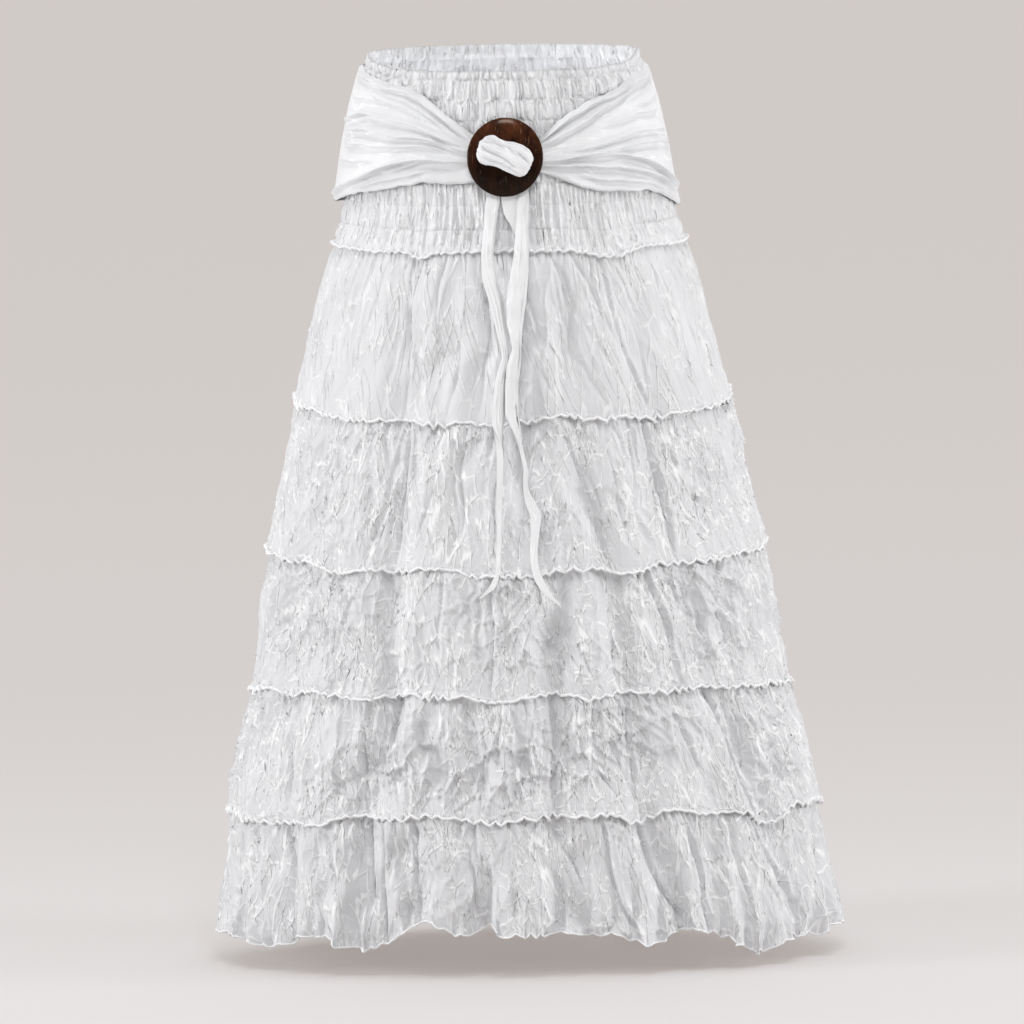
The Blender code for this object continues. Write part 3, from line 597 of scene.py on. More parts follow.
def tier_points(number):
    """A tier's points from its tucked top to its frill's edge or the open hem."""
    tier, kind = TIERS[number - 1], CRINKLES[number - 1]
    last = number == len(TIERS)
    lap = SEAM_LAP * (LAP_GAP + (YOKE_WALL + PUCKER if number == 1 else WALL))
    even = np.linspace(0, 1, TIER_ROWS)
    frill = np.linspace(0, 1, 1 if last else FRILL_ROWS + 1)[1:]
    part = np.concatenate([[0, 0], smooth(even) * 0.35 + even * 0.65, np.ones(len(frill))])
    edge = np.concatenate([np.zeros(TIER_ROWS + 2), frill])
    tuck = np.zeros(len(part))
    tuck[:2] = (TUCK_HEIGHT, TUCK_HEIGHT / 2)
    angle, part, edge = np.broadcast_arrays(
        round_angles(FRONT_COLUMNS, BACK_COLUMNS), part[:, None], edge[:, None])

    top, bottom = seam_drop(number, angle), seam_drop(number + 1, angle)
    drop = top + (bottom - top) * part
    below = drop - top
    opened, closing = smooth(part / OPEN_PART), smooth((part - 0.7) / 0.3)
    held = closing * (not last)     # in the seam below, which the hem hasn't
    turn = turns(angle)
    wander = ring_noise(turn, tier.folds // 2, 40 + number, part * 2.2) * np.sin(math.pi * part)
    uneven = 0.85 + 0.55 * ring_noise(turn, tier.folds, 50 + number, part * 1.4)
    wave = fold_wave(angle + 0.45 * wander * 360 / tier.folds, tier)
    wave = wave ** (1 + 0.5 * opened * (1 - closing))
    swell = tier.belly * opened * (1 - closing) * uneven + tier.seam * closing
    above = seam_inset(number, angle) - drape_depth(angle, top)
    inset = drape_depth(angle, drop) + (1 - opened) * (above + lap) + swell * wave
    inset = np.where(part == 0, seam_inset(number, angle) + lap, inset)

    calm = smooth(below / 14) * (1 - 0.55 * held)
    out = -inset + calm * crinkle_relief(number, angle, drop, part)
    out = out + kind.fold * smooth(below / 10) * crease_relief(number, angle, part, drop)
    out = out + gather_relief(number, angle, below)
    calm = smooth(below / 12) * (1 - 0.7 * held)
    around = girth_at(SEAM_DROPS[number - 1] + TIER_MIDDLE)
    for i, lay in enumerate(LAYS):
        rise = pleated(turn, drop, part, around, lay, 900 + 10 * number + 2 * i)
        out = out + kind.fold * calm * (rise - 0.35 * lay.height)
    girth = girth_at(SEAM_DROPS[number])
    if last:
        out, drop, angle = flounce(angle, drop, part, out, girth)
    else:
        out, drop, angle = frill_edge(number, angle, drop, part, edge, out, girth)
    return body_point(angle, drop - tuck[:, None], out)


def scallops(turn, wide, seed):
    """Uneven hanging lobes with sharp notches between them, about 0 to 1.6, and their phase."""
    phase = math.pi * turn * wide + 3.2 * ring_noise(turn, wide // 2, seed)
    size = np.clip(0.9 + 1.1 * ring_noise(turn, wide // 3, seed + 1, 0.3), 0.3, 1.8)
    return size * np.abs(np.sin(phase)) ** 0.8, phase


def frill_edge(number, angle, drop, part, edge, out, girth):
    """The lettuce edge under a seam: it hangs in small uneven lobes and curls."""
    wide, turn, frill = 2 * round(girth / FRILL_PITCH), turns(angle), TIERS[number - 1].frill
    lobe, phase = scallops(turn, wide, 80 + number)
    droop = ring_noise(turn, wide // 3, 88 + number, 0.7)
    small = ring_noise(turn, wide * 2, 86 + number, 0.4)
    late = edge ** 1.5
    pinch = hump((part - 1) / 0.02) * (1 - smooth(edge * 4))
    rough = crinkle_relief(number, angle, drop + edge * frill, 1.0)
    hung = FRILL_FLARE * edge ** 0.8 - seam_inset(number + 1, angle) + 0.5 * rough * (1 - 0.4 * edge)
    out = np.where(edge > 0, hung, out) - 0.5 * pinch
    out = out + late * (1.2 * np.sin(2 * phase + 0.9) * (0.4 + 0.6 * lobe) + 0.9 * small)
    drop = drop + edge * (frill - 4.2) + late * (FRILL_LOBE * lobe + 2.8 * droop + 1.3 * small)
    side = late * 2.2 * np.sin(2 * phase) * lobe
    return out, drop, angle + np.degrees(side / arc_radius(angle, drop))


def flounce(angle, drop, part, out, girth):
    """The open hem: soft flutes and an edge of uneven lobes."""
    turn, wide = turns(angle), round(girth / FLUTE_PITCH)
    loose, near = smooth((part - 0.35) / 0.65), smooth((part - 0.86) / 0.14)
    phase = 2 * math.pi * turn * wide + 2.6 * ring_noise(turn, wide // 2, 91, part * 1.2)
    size = 0.5 + 1.0 * np.abs(ring_noise(turn, wide // 2, 92))
    out = out + loose * FLUTE_DEPTH * size * (np.sin(phase) + 0.4 * np.sin(2 * phase + 0.6))
    fine = 2 * round(girth / HEM_PITCH)
    lobe, swing = scallops(turn, fine, 93)
    small, droop = ring_noise(turn, 3 * fine, 96), ring_noise(turn, fine // 3, 94)
    out = out + near * (1.5 * np.sin(2 * swing + 0.9) * lobe + 0.9 * small)
    drop = drop + near * (HEM_LOBE * lobe - 2.6 + 1.0 * small + 2.0 * droop)
    side = near * 1.3 * np.sin(2 * swing) * lobe + loose * FLUTE_SWAY * size * np.cos(phase + 0.4)
    return out, drop, angle + np.degrees(side / arc_radius(angle, drop))


# ---- yoke
YOKE_FRONT_COLUMNS, YOKE_BACK_COLUMNS = 500, 340
YOKE_LENGTH, YOKE_EDGE, YOKE_EDGE_FLARE, YOKE_SEAM_INSET = 185, 4.2, 0.6, 2.0
ELASTIC_DROPS = [9.5, 30.5, 52.5, 74.5, 96.6, 118.6, 141.8, 167]
PUCKERS, FINE_PUCKERS = 120, 210        # once round, above and below
FINE_START, FINE_REACH = 108, 26        # where the closer ones take over
PUCKER_DEPTH, FINE_DEPTH = 4.9, 3.5
YOKE_INSET = 4.2            # of its lowest cloth, inside the body's surface
RIM_FOLD, RIM_INSET = 14, 2.9           # the casing turned in at the rim


def pleat_row(turn, level, count, drift, seed, power):
    """Rounded pleats with narrow gaps between them, each of its own height: 0 to about 1.2."""
    phase = turn * count + drift * ring_noise(turn, count // 2, seed, level)
    size = np.clip(0.75 + 0.85 * ring_noise(turn, count, seed + 1, level * 1.3), 0.2, 1.2)
    return size * np.abs(np.sin(math.pi * phase)) ** power


def yoke_relief(angle, drop):
    """How far the smocked cloth stands inside the body's surface."""
    stations = np.array([-12.0, *ELASTIC_DROPS, 192.0])
    band = np.searchsorted(stations, drop) - 1
    share = (drop - stations[band]) / (stations[band + 1] - stations[band])
    puff = np.sin(math.pi * share) ** 0.45
    side = 2 * share - 1
    level = band + 0.5 + 0.5 * side * np.abs(side) ** 3
    turn = turns(angle)
    fine = smooth((drop - FINE_START) / FINE_REACH)
    coarse_pleats = pleat_row(turn, level * 0.83, PUCKERS, 1.5, 21, 0.85)
    fine_pleats = pleat_row(turn, drop / 60, FINE_PUCKERS, 0.9, 23, 0.55)
    crumb = crest(ring_noise(turn, PUCKERS * 2, 25, drop / 7), 0.12)
    upper = (0.35 + 0.65 * puff) * PUCKER_DEPTH * coarse_pleats + 1.2 * crumb * puff + 0.9 * puff
    lower = (0.70 + 0.30 * puff) * FINE_DEPTH * fine_pleats + 0.5 * puff + 0.6
    calm = 0.35 + 0.65 * smooth(np.abs(drop) / 6)
    inside = YOKE_INSET - calm * (upper * (1 - fine) + lower * fine) - 1.8 * (1 - calm)
    return np.where(inside < -0.6, 0.3 * (inside + 0.6) - 0.6, inside)


def yoke_points():
    """The yoke's points from the casing inside its rim to its wavy lower edge."""
    inside = np.linspace(RIM_FOLD, 1.0, 6)
    rows = [place + step for place in ELASTIC_DROPS for step in (-1.7, 0.0, 1.7)]
    outside = np.unique(np.concatenate([np.linspace(0.0, YOKE_LENGTH, 52), rows]))
    hem = np.linspace(0, 1, 5)[1:]
    drops = np.concatenate([inside, outside, np.full(len(hem), YOKE_LENGTH)])[:, None]
    edge = np.concatenate([np.zeros(len(inside) + len(outside)), hem])[:, None]
    within = np.arange(len(drops))[:, None] < len(inside)
    angle, drop = np.broadcast_arrays(round_angles(YOKE_FRONT_COLUMNS, YOKE_BACK_COLUMNS), drops)
    rim = np.exp(-np.clip(drop, 0, None) / 2.5)
    out = np.where(within, -yoke_relief(angle, drop) - RIM_INSET * (1 - rim), -yoke_relief(angle, drop))
    turn = turns(angle) * PUCKERS
    rim_ruffle = np.exp(-np.abs(drop) / 6) * (
        0.35 * np.cos(4 * math.pi * turn) + 0.8 * noise(turn / 4, 0, PUCKERS // 4, 27))
    phase = 2 * math.pi * turn + 4.5 * noise(turn / 2, 0, PUCKERS // 2, 25)
    droop = noise(turn, 0, PUCKERS, 26) + noise(turn / 5, 0.4, PUCKERS // 5, 28)
    pinch = 1 - smooth((YOKE_LENGTH - drop) / 5)
    out = out * (1 - pinch) + pinch * (edge * (YOKE_EDGE_FLARE + YOKE_SEAM_INSET) - YOKE_SEAM_INSET)
    out = out + edge ** 1.2 * np.sin(phase)
    dipped = smooth((drop - 150) / 35) * (seam_drop(1, angle) - SEAM_DROPS[0])
    wavy = edge * (YOKE_EDGE + 0.8 * np.cos(phase + 0.8) + 1.2 * droop)
    return body_point(angle, drop + dipped + wavy - rim_ruffle, out)


# ---- sash
SASH_GAP = 1.3
SASH_EDGE_ROLL, SASH_EDGE_WIDTH = 1.4, 3.2  # how far and over what its long edges roll in
SASH_LIFT = 1.6             # how far its lower edge stands off where it is wide
PLEAT_RISE, PLEAT_FALL = 4.0, 1.0       # the widths of a pleat's gentle and sharp sides
PLEAT_HEIGHT = 2.15
SASH_NOISE, KNOT_NOISE, TAIL_NOISE = 40, 60, 60     # cells, more than each of them crosses
# The sash's sections, and its pleats: the share of its height where each lies at six even steps
# from the stretch's far end to the buckle, its height, and the shares of the way it lasts.
SECTION, PLEAT = "angle top bottom wall flare", "p0 p1 p2 p3 p4 p5 height start end"
STRETCHES = named("name columns rows seed sections pleats", [
    ("sash_left", 190, 92, 31, table(SECTION, """
    -90 12 148 1.6 6, -65 14 133 1.8 4, -40 18 122 2 1, -30 32 117 2.2 0, -19 53 120 2.6 0,
    -12 67 116 3.2 0, -9 72 113 3.4 0"""), table(PLEAT, """
    0.02 0.02 0.03 0.05 0.05 0.1 3.2 0 1, 0.04 0.04 0.08 0.14 0.16 0.18 2 0.25 0.9,
    0.1 0.11 0.14 0.2 0.24 0.26 2.2 0.3 0.8, 0.22 0.19 0.18 0.24 0.28 0.28 1.4 0.1 0.6,
    0.42 0.35 0.29 0.34 0.34 0.28 4.6 0 0.95, 0.45 0.45 0.44 0.5 0.43 0.36 4.2 0.1 1,
    0.54 0.56 0.58 0.6 0.52 0.48 2.6 0.1 0.9, 0.68 0.7 0.72 0.7 0.66 0.6 1.8 0 0.45,
    0.97 0.94 0.86 0.76 0.67 0.54 4.6 0 0.95, 0.93 0.9 0.86 0.83 0.7 0.6 3.6 0.4 1,
    0.97 0.96 0.94 0.91 0.84 0.8 2 0.1 0.8""")),
    ("sash_right", 190, 92, 34, table(SECTION, """
    9 76 106 3.4 0, 13 72 107 3.2 0, 22 50 120 2.6 0, 34 35 130 2.2 0, 60 18 134 1.8 1,
    90 14 158 1.6 1.5"""), table(PLEAT, """
    0.02 0.02 0.02 0.03 0.05 0.07 3.2 0 1, 0.05 0.05 0.06 0.1 0.22 0.2 4 0.05 1,
    0.1 0.1 0.13 0.2 0.28 0.3 2 0.05 0.5, 0.2 0.2 0.22 0.27 0.33 0.38 1.8 0 0.45,
    0.31 0.3 0.28 0.31 0.38 0.44 2.6 0.15 0.65, 0.46 0.46 0.44 0.46 0.52 0.56 3.2 0.1 0.85,
    0.56 0.55 0.55 0.55 0.59 0.68 3.8 0.05 1, 0.9 0.86 0.72 0.6 0.62 0.66 4.8 0 0.85,
    0.94 0.91 0.84 0.74 0.71 0.8 4.4 0.05 1, 0.97 0.96 0.93 0.88 0.85 0.86 2.6 0.25 0.8""")),
    ("sash_back", 260, 60, 37, table(SECTION, """
    90 14 158 1.6 1.5, 180 15 155 1.6 3, 270 12 148 1.6 6"""), table(PLEAT, """
    0.05 0.04 0.03 0.03 0.04 0.04 3 0 1, 0.22 0.21 0.2 0.17 0.16 0.16 2.6 0 0.7,
    0.34 0.36 0.38 0.4 0.43 0.44 3.4 0.2 1, 0.55 0.54 0.53 0.53 0.5 0.5 2.6 0 0.8,
    0.66 0.69 0.71 0.73 0.74 0.74 3.4 0.1 1, 0.84 0.82 0.8 0.79 0.78 0.78 3 0 1,
    0.92 0.93 0.94 0.93 0.92 0.92 2 0.3 1""")),
])


def rounded(values, reach):
    """Values along a line, with their corners rounded off."""
    kernel = np.hanning(2 * reach + 3)[1:-1]
    padded = np.concatenate([np.full(reach, values[0]), values, np.full(reach, values[-1])])
    return np.convolve(padded, kernel / kernel.sum(), mode="valid")


def sash_ends(share):
    """How freely the cloth stands, from where the stretch starts."""
    return smooth((share + 0.001) / 0.07) * (0.4 + 0.6 * smooth(share / 0.3))


def sash_points(stretch):
    """A stretch of the sash, from its far end towards the buckle or once round the back."""
    sections, seed = stretch.sections, stretch.seed
    start, end = sections[0].angle, sections[-1].angle
    angles = np.linspace(start, end, stretch.columns)
    reach = stretch.columns // 14
    top, bottom = (rounded(along(sections, angles, edge), reach) for edge in ("top", "bottom"))
    wall, flare = along(sections, angles, "wall"), along(sections, angles, "flare")
    height = bottom - top
    narrow = 1 - height / height.max()
    round_back = end - start > 90
    far = start if round_back or abs(start) > abs(end) else end
    share = np.abs(angles - far) / abs(end - start)
    part = np.linspace(0, 1, stretch.rows)[:, None]
    sway = 0.018 * noise(share * 7, part * 2, SASH_NOISE, seed) * (1 - 0.6 * share)
    relief = 0.0
    for pleat in stretch.pleats:
        line = rounded(np.interp(share, np.linspace(0, 1, 6), pleat[:6]), stretch.columns // 12)
        below = (part - line - sway) * height
        taper = smooth((share - pleat.start + 0.02) / 0.15) * smooth((pleat.end + 0.02 - share) / 0.15)
        ridge = np.exp(-(below / np.where(below < 0, PLEAT_RISE, PLEAT_FALL)) ** 2)
        sunk = 0.5 * np.exp(-((below - 4.2) / 2.8) ** 2)
        relief = relief + PLEAT_HEIGHT * pleat.height * taper * (ridge - sunk)
    small = noise(part * 9 + 120 * sway, share * 3, SASH_NOISE, seed + 1)
    relief = relief + (0.35 + 0.9 * narrow) * crest(small, 0.12)
    relief = relief + 0.8 * noise(share * 5 + part * 2, part * 4, SASH_NOISE, seed + 2) * (1 - narrow)
    ends = sash_ends(share) * (sash_ends(1 - share) if round_back else 1)
    relief = np.maximum(relief * ends, -1.5)
    inner = np.clip(np.minimum(part, 1 - part) * height / SASH_EDGE_WIDTH, 0, 1)
    flat = np.sqrt(np.clip(1 - (1 - inner) ** 2, 0, 1))
    stand_off = SASH_GAP + (flare + SASH_LIFT * (1 - narrow)) * part
    out = stand_off + (wall + 0.6 + relief) * flat - SASH_EDGE_ROLL * (1 - flat)
    wavy = 1.6 * ends * noise(share * 16, part * 1.5 + 0.3, SASH_NOISE, seed + 3)
    drop = top + height * part + wavy * (np.abs(part - 0.5) * 2) ** 3
    return body_point(np.broadcast_to(angles, out.shape), drop, out)


# ---- buckle and its knot
BUCKLE_DROP, BUCKLE_X, BUCKLE_TILT = 90.9, 0.6, -20
BUCKLE_BACK, BUCKLE_CROWN = 6.0, 5.8        # its back off the yoke, its crown off its back
BUCKLE_HALF_WIDTH, BUCKLE_HALF_HEIGHT, BUCKLE_SEGMENTS = 37.5, 39.5, 120
# Its rings from the front's middle over the rim to the back's middle. The slots lie
# between two rings of the front, and between the two like them at the back.
FRONT_RINGS = table("radius height", """
    0.1 5.75, 0.24 5.7, 0.34 5.6, 0.45 5.45, 0.56 5.2, 0.66 4.85, 0.74 4.45, 0.81 4, 0.87 3.5, 0.92 3,
    0.955 2.55, 0.98 2.1, 0.995 1.6, 1 1.15, 0.993 0.7, 0.975 0.25, 0.94 0""")
BUCKLE_RINGS = FRONT_RINGS + [(radius, 0) for radius in (0.80, 0.68, 0.56, 0.45, 0.34, 0.24, 0.10)]
SLOT_RINGS = (1, 4)
SLOT_HALF_ANGLE = 45
SHARP_ANGLE = 50


def buckle_frame():
    """Origin on the yoke behind the buckle, and its across, up and out directions."""
    origin, above, below = (body_point(0.0, BUCKLE_DROP + step)
                            for step in (0, -BUCKLE_HALF_HEIGHT, BUCKLE_HALF_HEIGHT))
    origin[0] = BUCKLE_X
    across, up = np.array([1.0, 0, 0]), unit(above - below)
    return origin, across, up, np.cross(across, up)


def buckle_points(u, v, w):
    """Points by their place on the tilted buckle: across, up and out from the yoke."""
    origin, across, up, out = buckle_frame()
    cos, sin = math.cos(math.radians(BUCKLE_TILT)), math.sin(math.radians(BUCKLE_TILT))
    u, v, w = (np.asarray(place)[..., None] for place in (u, v, w))
    return origin + (u * cos - v * sin) * across + (u * sin + v * cos) * up + w * out


def shell_material():
    """Polished coconut shell: dark brown with short pale fibres, under a clear gloss, with painted light
    lifting its top.
    """
    material, nodes, shader = new_material("coconut_shell")
    place = nodes.add("TexCoord", {}, "Object")

    def streaks(size, turn, detail):
        return nodes.noise(nodes.add("Mapping", {
            "Scale": [1 / (s * MM) for s in size], "Rotation": (0, turn, 0), "Vector": place}), detail)

    cloud = streaks((9, 9, 16), 0.3, 5)
    brown = nodes.add("ValToRGB", {"Fac": cloud})
    dark, light = brown.node.color_ramp.elements
    dark.position, dark.color = 0.3, (0.004, 0.0012, 0.0005, 1)
    light.position, light.color = 0.75, (0.028, 0.008, 0.003, 1)
    # painted light: the shell's colour is lifted towards its top, as if lit from above
    above = nodes.span(nodes.axis("Generated", "Z"), 0.25, 0.95)
    lift = nodes.mix(above, (0.7, 0.7, 0.7, 1), (3.4, 3.4, 3.2, 1))
    fibres = nodes.math("MAXIMUM", *[
        nodes.span(streaks(size, turn, 1), limit, limit + 0.07, kind="LINEAR")
        for size, turn, limit in (((0.8, 5, 20), 0.35, 0.70), ((0.7, 5, 16), -0.5, 0.71))])
    nodes.feed(shader, {
        "Specular IOR Level": 0.19, "Specular Tint": (1.0, 0.86, 0.74, 1),
        "Base Color": nodes.mix(nodes.math("MULTIPLY", fibres, above),
                                nodes.mix(1.0, brown, lift, blend_type="MULTIPLY"), (0.30, 0.14, 0.07, 1)),
        "Roughness": nodes.span(cloud, 0.0, 1.0, 0.08, 0.17, "LINEAR"),
        "Normal": nodes.add("Bump", {"Distance": 0.15 * MM, "Height": fibres})})
    return material


def make_buckle():
    """The domed disc with its two slots, rounded at the rim."""
    count, last = BUCKLE_SEGMENTS, len(BUCKLE_RINGS) - 1
    turn = 2 * math.pi * np.arange(count) / count
    in_slot = np.abs((np.degrees(turn) + 90) % 180 - 90) < SLOT_HALF_ANGLE
    u, v, level = BUCKLE_HALF_WIDTH * np.cos(turn), BUCKLE_HALF_HEIGHT * np.sin(turn), np.zeros(count)
    rings = [buckle_points(radius * u, radius * v, level + BUCKLE_BACK + height)
             for radius, height in BUCKLE_RINGS]
    middles = buckle_points(np.zeros(2), np.zeros(2), [BUCKLE_BACK + BUCKLE_CROWN, BUCKLE_BACK])
    crown, heel = len(rings) * count, len(rings) * count + 1
    inner, outer = SLOT_RINGS
    through = [row for row in range(last) if inner <= row < outer or inner <= last - row - 1 < outer]
    faces = []

    def quad(*corners):
        faces.append([ring * count + side for ring, side in corners])

    for i in range(count):
        j = (i + 1) % count
        faces += [(crown, i, j), (heel, last * count + j, last * count + i)]
        for row in range(last):
            if not (in_slot[i] and in_slot[j] and row in through):
                quad((row, i), (row + 1, i), (row + 1, j), (row, j))
    for i in np.flatnonzero(in_slot):
        j = (i + 1) % count
        if in_slot[j]:
            quad((inner, i), (inner, j), (last - inner, j), (last - inner, i))
            quad((outer, j), (outer, i), (last - outer, i), (last - outer, j))
        if not (in_slot[j] and in_slot[i - 1]):
            for row in range(inner, outer):
                quad((row, i), (row + 1, i), (last - row - 1, i), (last - row, i))
    mesh = bpy.data.meshes.new("buckle_shell")
    mesh.from_pydata(np.concatenate([*rings, middles]) * MM, [], faces)
    mesh.validate()
    mesh.shade_smooth()
    mesh.set_sharp_from_angle(angle=math.radians(SHARP_ANGLE))
    mesh.materials.append(shell_material())
    dress("coconut_shell", ["buckle"], add_object("buckle_shell", mesh))


# The knot's middle line over the bar (across the buckle and out from the yoke) and its
# half widths on either side.
KNOT = table("u w low high", """
    -14 3 8 8, -14 12 9 8, -19 13.6 10 8, -25 14.8 11 8, -28 18 12 7, -24.5 22.4 15 11.5,
    -16 24.4 16 15, -5 23.2 14 13, 5 23.6 15 14.5, 16 24.2 16 14, 24 22.4 15.5 12.5, 27.6 18 13 10,
    25 14.8 8 8, 19 13.6 8 9, 14 12 8 9, 14 3 8 8""")
KNOT_WRAP = 112             # degrees each long edge of the bundle curls round
KNOT_THICK, KNOT_FACE = 5.6, 13
KNOT_LIFT = 1.9             # how far above the buckle's middle it is pulled
# Sunk lines along the knot: where each lies across it (-1 to 1) at its start and
# end, over which shares of the knot's length it runs, and its depth.
KNOT_FOLDS = table("start_across end_across start end depth", """
    0.55 0.05 0.3 0.68 3.4, 0.82 0.46 0.42 0.66 2.8, 0.1 -0.38 0.3 0.62 3.2, -0.28 -0.62 0.34 0.66 3,
    0.3 -0.06 0.5 0.68 2.4, -0.62 -0.85 0.34 0.6 2.8, 0.3 0.2 0.32 0.5 2.8""")


def spline(rows, count):
    """A smooth line of count points through rows of numbers."""
    rows = np.asarray(rows, float)
    ends = np.concatenate([[2 * rows[0] - rows[1]], rows, [2 * rows[-1] - rows[-2]]])
    at = np.linspace(0, len(rows) - 1, count)
    i = np.minimum(at.astype(int), len(rows) - 2)
    t = (at - i)[:, None]
    a, b, c, d = (ends[i + step] for step in range(4))
    return 0.5 * (2 * b + (c - a) * t + (2 * a - 5 * b + 4 * c - d) * t ** 2
                  + (3 * b - a - 3 * c + d) * t ** 3)


def knot_points():
    """The sash's bunched end over the buckle's bar."""
    path = spline(KNOT, 150)
    ahead = unit(np.gradient(path[:, :2], axis=0))
    u, w, low, high = path.T
    across = np.linspace(-1, 1, 64)[:, None]
    run = np.linspace(0, 1, len(path))
    relief = 0.9 * crest(noise(across * 5 + 9 + 3 * run, run * 4 + 0 * across, KNOT_NOISE, 41), 0.2)
    relief = relief + 1.6 * noise(across * 1.6 + 5 + 1.5 * run, run * 6 + 0 * across, KNOT_NOISE, 43)
    for fold in KNOT_FOLDS:
        share = (run - fold.start) / (fold.end - fold.start)
        line = fold.start_across + (fold.end_across - fold.start_across) * share
        line = line + 0.05 * np.sin(7 * share + fold.depth)
        taper = smooth((share + 0.05) / 0.25) * smooth((1.05 - share) / 0.25)
        away = (across - line) / 0.055
        lip = 0.35 * np.exp(-((away - 2.2) / 1.6) ** 2)
        relief = relief + fold.depth * taper * (lip - np.exp(-away ** 2))
    lobe = smooth((w - KNOT_FACE) / 6)
    thick = KNOT_THICK * (0.35 + 0.65 * lobe)
    swell = relief * (0.3 + 0.7 * lobe)
    turn = np.radians(KNOT_WRAP) * across
    lift = (thick + swell) * np.cos(turn) - thick
    v = (np.where(across > 0, high, low) + 0.35 * swell) * np.sin(turn)
    points = buckle_points(u - ahead[:, 1] * lift, v, w + ahead[:, 0] * lift)
    return points + KNOT_LIFT * buckle_frame()[2]


# ---- tails
# Each sash end is one sheet folded on its right side, a long layer behind and a short
# one in front, each narrowing to a point. At each drop: x of the long layer's free
# edge, of the front layer's and of the fold, and how far the cloth stands out.
TAIL = "drop back left fold lift"
TAILS = named("name short seed sections", [
    ("tail_left", 364, 51, table(TAIL, """
    109 -18 -18 -6 2.4, 134 -19 -19 -5 2.6, 160 -22 -22 -9 5, 191 -25 -25 -12.6 6,
    209 -25 -25 -10.4 6.4, 233 -18 -18 -3.6 5.6, 269 -8.5 -8.5 1.5 5.2, 283 -6 -6 2.2 5.2,
    303 -13.2 -13.2 -2.5 6.2, 329 -17.7 -17.7 -3.8 7, 344 -16.5 -16.8 -5 7, 362 -13.5 -8.6 -6.3 7,
    380 -12.9 -7 -6.2 7, 421 -14 -8.6 -8 7, 462 -14.4 -10.2 -9.8 7.2, 498 -16.6 -11.4 -11 8.2,
    513 -23.6 -17.4 -17 10.2, 524 -34.4 -32.8 -32.4 11""")),
    ("tail_right", 369, 54, table(TAIL, """
    109 -2 12 24 2.4, 134 -4 12.8 23.6 2.6, 150 -2 11.4 23.4 4.6, 160 4 10.4 23.2 5.2, 172 9.4 9.4 23 6,
    192 7.8 7.8 22.6 6.6, 209 3.5 3.5 22.2 7.4, 234 -1.1 -1.1 19 8.8, 254 -0.4 -0.4 15.4 9.2,
    274 4.8 4.8 13.4 9.4, 289 -1.2 -1.2 12.9 9, 308 -3.4 -3.4 9.5 8.2, 333 -3.8 -3.8 9.4 7.4,
    349 3 3.6 12 7, 367 9.5 12 14.2 7, 388 13.6 17.6 18.3 7, 411 12.8 16.2 17 7.4, 423 14.4 21.5 25 8.2,
    436 19.4 30 31 8, 457 19.4 27.2 27.9 7, 483 18 24.6 25.2 7.4, 505 22.8 30.4 30.9 8.6,
    520 31.4 38.2 38.6 9.8, 536 49.4 50.2 50.4 10.4""")),
])
TAIL_TOP, TAIL_ROWS, TAIL_COLUMNS = 109, 200, 13
TAIL_POINT_COLUMNS = 12     # where the front layer runs out along the fold
TAIL_POINT = 0.2            # and the share of its width they take
TAIL_FOLD = 2.6             # how far the front layer lies before the one behind it


def tail_points(tail):
    """A sash end folded along its length, each of its layers cut to a point."""
    long = tail.sections[-1].drop
    back = np.linspace(0, 1, TAIL_COLUMNS)
    front = np.concatenate([np.linspace(0, TAIL_POINT, TAIL_POINT_COLUMNS)[1:],
                            np.linspace(TAIL_POINT, 1, TAIL_COLUMNS)[1:]])
    over = np.concatenate([np.zeros(len(back)), front])
    under = np.concatenate([back, np.ones(len(front))])
    end = long - (long - tail.short) * np.clip(over / TAIL_POINT, 0, 1)
    drop = TAIL_TOP + (end - TAIL_TOP) * np.linspace(0, 1, TAIL_ROWS)[:, None]
    span = np.arange(100, 560.0)
    free, left, fold, lift = (np.interp(drop, span, rounded(along(tail.sections, span, edge), 4))
                              for edge in ("back", "left", "fold", "lift"))
    x = np.where(over > 0, fold + (left - fold) * over, free + (fold - free) * under)
    wide = np.clip((fold - left) / 12, 0, 1)
    turned = np.sin(0.5 * math.pi * np.clip(over / 0.25, 0, 1))
    bulge = 4 * over * (1 - over)
    rise = TAIL_FOLD * turned * wide + 1.3 * bulge * wide
    pleat = crest(noise(over * 4 + 3 + drop / 150, drop / 70, TAIL_NOISE, tail.seed), 0.16)
    swell = noise(over * 2 + 9, drop / 26, TAIL_NOISE, tail.seed + 1)
    rise = rise + (1.3 * pleat + 0.8 * swell) * wide * np.where(over > 0, bulge, 0.5)
    hidden = (over > 0) * smooth((drop - tail.short - 6) / 10)
    rise = (rise * (1 - hidden) - 0.7 * hidden) * smooth((drop - TAIL_TOP - 12) / 30) + 0.3
    x = x + 0.9 * noise(over * 2 + 3, drop / 19, TAIL_NOISE, tail.seed + 2) * over ** 4
    out = lift + rise
    turn = (x - along(LEVELS, drop, "centre")) / (along(BODY, drop, "half_width") + out)
    return body_point(np.degrees(np.arcsin(turn)), drop, out)


# ---- studio, in metres
CAMERA_DISTANCE, CAMERA_ELEVATION, CAMERA_ROLL = 14.0, 5.5, -1.0
CAMERA_TARGET = Vector((0.0014, 0.0, -0.4627))
FRAME_WIDTH = 1.024         # of the object's plane across the picture
SENSOR, CLIP_END = 36.0, 400
FLOOR_LEVEL, FLOOR_HALF = -0.907, 90.0
# The floor's glow is painted light: it lifts and warms the skirt's shadow, and grows towards the back.
FLOOR_COLOUR, FLOOR_GLOW_COLOUR = (0.47, 0.485, 0.505, 1), (1.0, 0.86, 0.775, 1)
FLOOR_NEAR, FLOOR_FAR = 1.0, 5.0    # behind the skirt, where its own light grows
FLOOR_GLOW_NEAR, FLOOR_GLOW_FAR = 0.28, 0.325
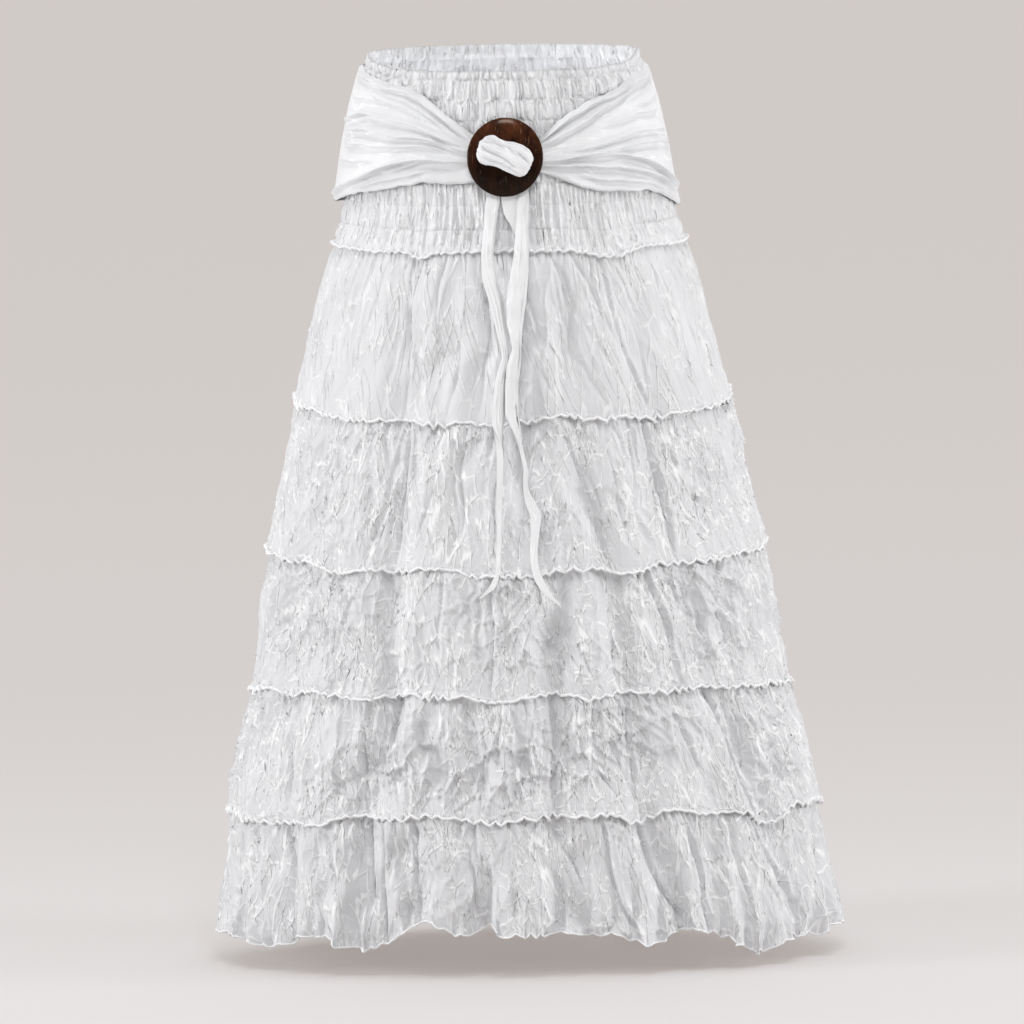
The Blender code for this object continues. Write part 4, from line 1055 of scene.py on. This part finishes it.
# The lamp inside stands in for the light that thin voile lets through.
LAMPS = named("name place aim size power", [
    ("key", (-3.6, -1.3, 0.3), (0, 0, -0.4), 1.1, 68), ("fill", (3.6, -0.9, 0.1), (0, 0, -0.4), 1.3, 58),
    ("top", (0.2, -1.9, 3.2), (0, 0, -0.1), 1, 15), ("gleam", (0.05, -2, 1.7), (0, 0, -0.09), 0.6, 16),
    ("inside", (0, 0.02, -0.3), (0, 0.02, 1), 0.15, 0.62),
])
SKY_COLOUR = (1.0, 0.985, 0.972, 1)
SKY_LEVEL, SKY_TOP = 0.22, 0.74     # the world's strength at eye level and overhead
SKY_BEHIND = 0.40                   # and what the side behind the skirt adds


def aimed(place, aim):
    """The turn that lets a camera or a lamp look from one place to another."""
    return (Vector(aim) - Vector(place)).to_track_quat("-Z", "Y")


def make_camera():
    data = bpy.data.cameras.new("camera")
    camera = add_object("camera", data)
    lift = math.radians(CAMERA_ELEVATION)
    place = CAMERA_TARGET + CAMERA_DISTANCE * Vector((0, -math.cos(lift), math.sin(lift)))
    tilt = Matrix.Rotation(math.radians(CAMERA_ROLL), 4, "Z")
    look = aimed(place, CAMERA_TARGET).to_matrix().to_4x4()
    camera.matrix_world = Matrix.Translation(place) @ look @ tilt
    data.sensor_width = SENSOR
    data.lens = SENSOR * CAMERA_DISTANCE / FRAME_WIDTH
    data.clip_end = CLIP_END
    bpy.context.scene.camera = camera


def make_floor():
    mesh = bpy.data.meshes.new("floor")
    corners = [(x * FLOOR_HALF, y * FLOOR_HALF, FLOOR_LEVEL) for x, y in ((-1, -1), (1, -1), (1, 1), (-1, 1))]
    mesh.from_pydata(corners, [], [(0, 1, 2, 3)])
    material, nodes, shader = new_material("floor")
    # painted light: the floor glows, more towards the back
    glow = nodes.span(nodes.axis("Object", "Y"), FLOOR_NEAR, FLOOR_FAR, FLOOR_GLOW_NEAR, FLOOR_GLOW_FAR)
    nodes.feed(shader, {"Base Color": FLOOR_COLOUR, "Emission Color": FLOOR_GLOW_COLOUR, "Roughness": 0.95,
                        "Emission Strength": glow, "Specular IOR Level": 0.1})
    mesh.materials.append(material)
    add_object("floor", mesh)


def make_lights():
    for lamp in LAMPS:
        data = bpy.data.lights.new(lamp.name, "AREA")
        data.shape, data.size, data.energy = "SQUARE", lamp.size, lamp.power
        light = add_object(lamp.name, data)
        light.location = lamp.place
        light.rotation_mode = "QUATERNION"
        light.rotation_quaternion = aimed(lamp.place, lamp.aim)
    world = bpy.data.worlds.new("studio")
    bpy.context.scene.world = world
    world.use_nodes = True
    nodes = Nodes(world.node_tree)
    level = nodes.span(nodes.axis("Generated", "Z"), 0.0, 1.0, SKY_LEVEL, SKY_TOP, "LINEAR")
    behind = nodes.span(nodes.axis("Generated", "Y"), 0.25, 0.85, 0.0, SKY_BEHIND)
    nodes.feed(world.node_tree.nodes["Background"],
               {"Color": SKY_COLOUR, "Strength": nodes.math("ADD", level, behind)})
    bpy.context.scene.view_settings.view_transform = "Standard"


# ---- assembly
def build():
    thread = thread_material()
    smocked, soft, crinkled, sash, folded = (cloth_material(*cloth) for cloth in CLOTHS)
    make_camera()
    yoke, yoke_trim = add_cloth("yoke", ["yoke_front", "yoke_back"], "smocked_voile", yoke_points(),
                                smocked, (EDGE_RADIUS, thread))
    for number in range(1, len(TIERS) + 1):
        name = f"tier_{number}"
        add_cloth(name, [f"{name}_front", f"{name}_back"], "crinkled_voile",
                               tier_points(number), soft if number == 1 else crinkled,
                               (HEM_RADIUS if number == len(TIERS) else EDGE_RADIUS, thread))
    left, right, back = (add_cloth(part.name, [part.name], "sash_voile", sash_points(part), sash)[0]
                         for part in STRETCHES)
    make_buckle()
    knot, = add_cloth("knot", ["sash_loop"], "sash_voile", knot_points(), sash)
    tails = [add_cloth(tail.name, [tail.name], "sash_voile", tail_points(tail), folded, turned=True)[0]
             for tail in TAILS]
    make_floor()
    make_lights()


build()
